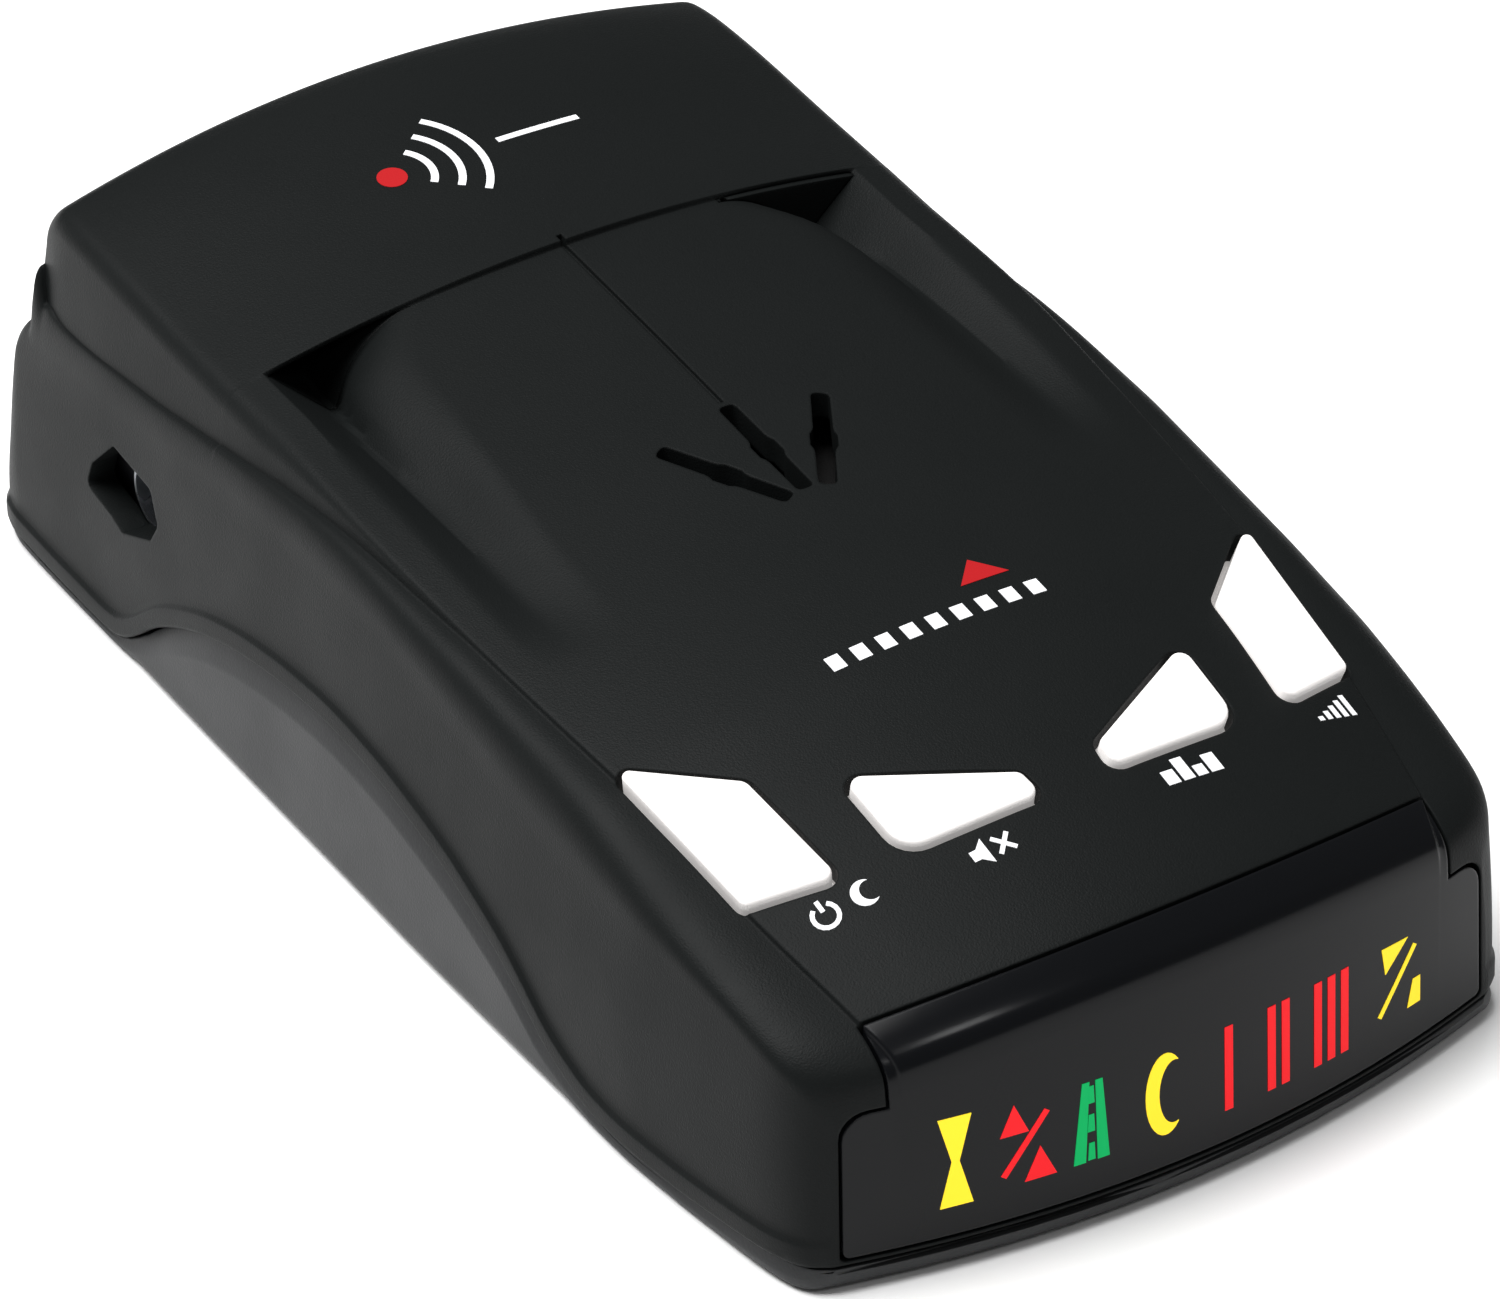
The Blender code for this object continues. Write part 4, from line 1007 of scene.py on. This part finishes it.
class DETECTOR_OT_emblems(bpy.types.Operator):
    """Print plain wave and bar signs on the hood and the dome"""

    bl_idname = "detector.emblems"
    bl_label = "Emblems"

    def execute(self, context):
        white, red = finish("white_ink"), finish("red_ink")
        hood_middle = deck_spot(0, 37.6)
        waves = [strip(arc(-7.2, 0, r, -42, 42), 0.62) for r in (3.4, 5.6, 7.8)]
        printed("hood_waves", waves, hood_middle, white, "key_cap")
        printed("hood_dot", [arc(-7.2, 0, 1.25, 0, 345, 23)], hood_middle, red, "key_cap")
        line = [[(2.6, -0.3), (10.2, -0.3), (10.2, 0.3), (2.6, 0.3)]]
        printed("hood_line", line, hood_middle, white, "key_cap")
        bar_row("deck_bars", 9, 2.25, 1.2, 1.5, 0, deck_spot(-0.3, -28.9), white, "key_cap")
        triangle = [[(-2.2, -0.9), (2.2, -0.9), (0, 1.5)]]
        printed("deck_mark", triangle, deck_spot(5.8, -25.6), red, "key_cap")
        return {"FINISHED"}


class DETECTOR_OT_display_signs(bpy.types.Operator):
    """Lay the coloured lamp legends on the display face"""

    bl_idname = "detector.display_signs"
    bl_label = "Display legends"

    def execute(self, context):
        def put(u, v, lift):
            return (u, face_y(u, LEGEND_Z + v) - lift, LEGEND_Z + v)

        def legend(name, colour, outlines):
            printed(name, outlines, put, finish(colour + "_legend"), "lamp_" + colour)

        glass = [[(-21.6, -3.9), (-19.0, -3.9), (-20.0, 0), (-19.0, 3.9), (-21.6, 3.9), (-20.6, 0)]]
        legend("band_one_legend", "yellow", glass)
        peaks = [[(-16.8, 0.9), (-14.5, 0.9), (-15.65, 3.5)], [(-14.9, -3.5), (-12.3, -3.5), (-13.6, -0.7)]]
        peaks.append(strip([(-16.6, -2.6), (-13.0, 2.3)], 0.5))
        legend("band_two_legend", "red", peaks)
        road = [[(-10.9, -3.5), (-9.9, -3.5), (-9.5, 3.5), (-10.1, 3.5)]]
        road.append([(-7.9, -3.5), (-8.9, -3.5), (-9.0, 3.5), (-8.4, 3.5)])
        for dash in range(3):
            low, high = -3.4 + 2.5 * dash, -1.9 + 2.5 * dash
            road.append([(-9.7, low), (-9.1, low), (-9.15, high), (-9.6, high)])
        legend("road_legend", "green", road)
        legend("night_legend", "yellow", [[(u - 3.0, v) for u, v in crescent(1.75, 3.6)]])
        for group, (centre, count) in enumerate(((2.7, 1), (7.4, 2), (12.6, 3)), 1):
            name = f"strength_{group}_legend"

            def bar_put(u, v, lift, centre=centre):
                return put(u + centre, v, lift)

            bar_row(name, count, 1.35, 0.75, 7.4, 0, bar_put, finish("red_legend"), "lamp_red")
        beam = [[(18.2, 1.0), (20.6, 3.2), (17.8, 3.4)], strip([(17.6, -2.6), (21.4, 2.2)], 0.45)]
        beam.append([(20.6, -3.2), (22.0, -3.2), (22.0, -0.9), (21.2, -0.9)])
        legend("laser_legend", "yellow", beam)
        return {"FINISHED"}


class DETECTOR_OT_socket(bpy.types.Operator):
    """Build the coaxial power socket in the side wall"""

    bl_idname = "detector.socket"
    bl_label = "Power socket"

    def execute(self, context):
        low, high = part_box("power_jack")
        low, high = low / MM, high / MM
        mouth = (low.x, JACK_Y, JACK_Z)
        body = box("socket_body", (low.x + 0.2, high.x), (low.y, high.y), (low.z, high.z))
        boolean(body, turned("bore", mouth, (1, 0, 0), [(3.2, -2), (3.2, 9.4)]))
        finish_piece(body, "case", finish("moulded_black"), "moulded_black", "power_jack", sharp=40)
        shape = [(3.15, 8.0), (3.15, -0.6), (2.9, -0.9), (2.6, -0.9), (2.6, 8.0)]
        collar = turned("socket_collar", mouth, (1, 0, 0), shape)
        finish_piece(collar, "case", finish("screw_steel"), "screw_steel", sharp=40)
        pin = turned("socket_pin", mouth, (1, 0, 0), [(0.7, 9.1), (0.7, 3.2), (0.55, 2.7), (0.2, 2.5)])
        finish_piece(pin, "case", finish("screw_steel"), "screw_steel", "jack_centre_pin", sharp=40)
        return {"FINISHED"}


class DETECTOR_OT_inner_parts(bpy.types.Operator):
    """Give every carried-over piece its own finish"""

    bl_idname = "detector.inner_parts"
    bl_label = "Inner parts"

    def execute(self, context):
        for part in frame["record"]["subparts"]:
            made = frame["nodes"][part["node"]]
            made.data.materials.clear()
            made.data.materials.append(finish(part["material_slot"]))
        return {"FINISHED"}


class DETECTOR_OT_stage(bpy.types.Operator):
    """Set the pale floor, the soft lights and the camera"""

    bl_idname = "detector.stage"
    bl_label = "Stage"

    def execute(self, context):
        floor = box("studio_floor", (-2500, 2500), (-2500, 2500), (-3, -0.02))
        paper = surface_of("backdrop_paper", linear("#FFFFFF"), 0.9, grain=2.0, bump=0.02, mottle=0.01)
        floor.data.materials.append(paper)
        world = bpy.data.worlds.new("studio")
        world.use_nodes = True
        background = world.node_tree.nodes["Background"]
        background.inputs["Color"].default_value = (1, 1, 1, 1)
        background.inputs["Strength"].default_value = WORLD_LIGHT
        context.scene.world = world
        for name, spot, size, power in LAMPS:
            lamp = bpy.data.lights.new(name, "AREA")
            lamp.shape, lamp.size, lamp.energy = "SQUARE", size, power
            made = new_object(name, lamp)
            made.location = spot
            aim = Vector((0, 0, 0.02)) - Vector(spot)
            made.rotation_euler = aim.to_track_quat("-Z", "Y").to_euler()
        lens = bpy.data.cameras.new("camera")
        lens.lens, lens.sensor_width = CAMERA_LENS, CAMERA_SENSOR
        lens.clip_start, lens.clip_end = 0.01, 20
        camera = new_object("camera", lens)
        turn, tilt, roll = (math.radians(a) for a in (CAMERA_TURN, CAMERA_TILT, CAMERA_ROLL))
        ahead = Vector((math.sin(turn) * math.cos(tilt), math.cos(turn) * math.cos(tilt), -math.sin(tilt)))
        right = Vector((math.cos(turn), -math.sin(turn), 0))
        up = right.cross(ahead)
        across = right * math.cos(roll) + up * math.sin(roll)
        over = up * math.cos(roll) - right * math.sin(roll)
        aim = Matrix((across, over, -ahead)).transposed().to_4x4()
        camera.matrix_world = Matrix.Translation(CAMERA_AT) @ aim
        context.scene.camera = camera
        context.scene.view_settings.view_transform = "Standard"
        return {"FINISHED"}


class DETECTOR_PT_panel(bpy.types.Panel):
    """Lists the pieces and the settings of the detector"""

    bl_idname = "DETECTOR_PT_panel"
    bl_label = "Radar detector"
    bl_space_type = "VIEW_3D"
    bl_region_type = "UI"
    bl_category = "Detector"

    def draw(self, context):
        for group in (context.scene.detector_sizes, context.scene.detector_colours):
            for key in group.__annotations__:
                self.layout.prop(group, key)
        for operator in OPERATORS:
            self.layout.operator(operator.bl_idname)


OPERATORS = (
    DETECTOR_OT_stage,
    DETECTOR_OT_inner_parts,
    DETECTOR_OT_cover,
    DETECTOR_OT_lower_case,
    DETECTOR_OT_lens,
    DETECTOR_OT_keys,
    DETECTOR_OT_key_signs,
    DETECTOR_OT_emblems,
    DETECTOR_OT_display_signs,
    DETECTOR_OT_socket,
)
CLASSES = (DetectorSizes, DetectorColours, *OPERATORS, DETECTOR_PT_panel)


def register():
    for part in CLASSES:
        bpy.utils.register_class(part)
    bpy.types.Scene.detector_sizes = bpy.props.PointerProperty(type=DetectorSizes)
    bpy.types.Scene.detector_colours = bpy.props.PointerProperty(type=DetectorColours)


def unregister():
    del bpy.types.Scene.detector_colours, bpy.types.Scene.detector_sizes
    for part in reversed(CLASSES):
        bpy.utils.unregister_class(part)


def main():
    register()
    for operator in OPERATORS:
        group, name = operator.bl_idname.split(".")
        getattr(getattr(bpy.ops, group), name)()


if __name__ == "__main__":
    main()
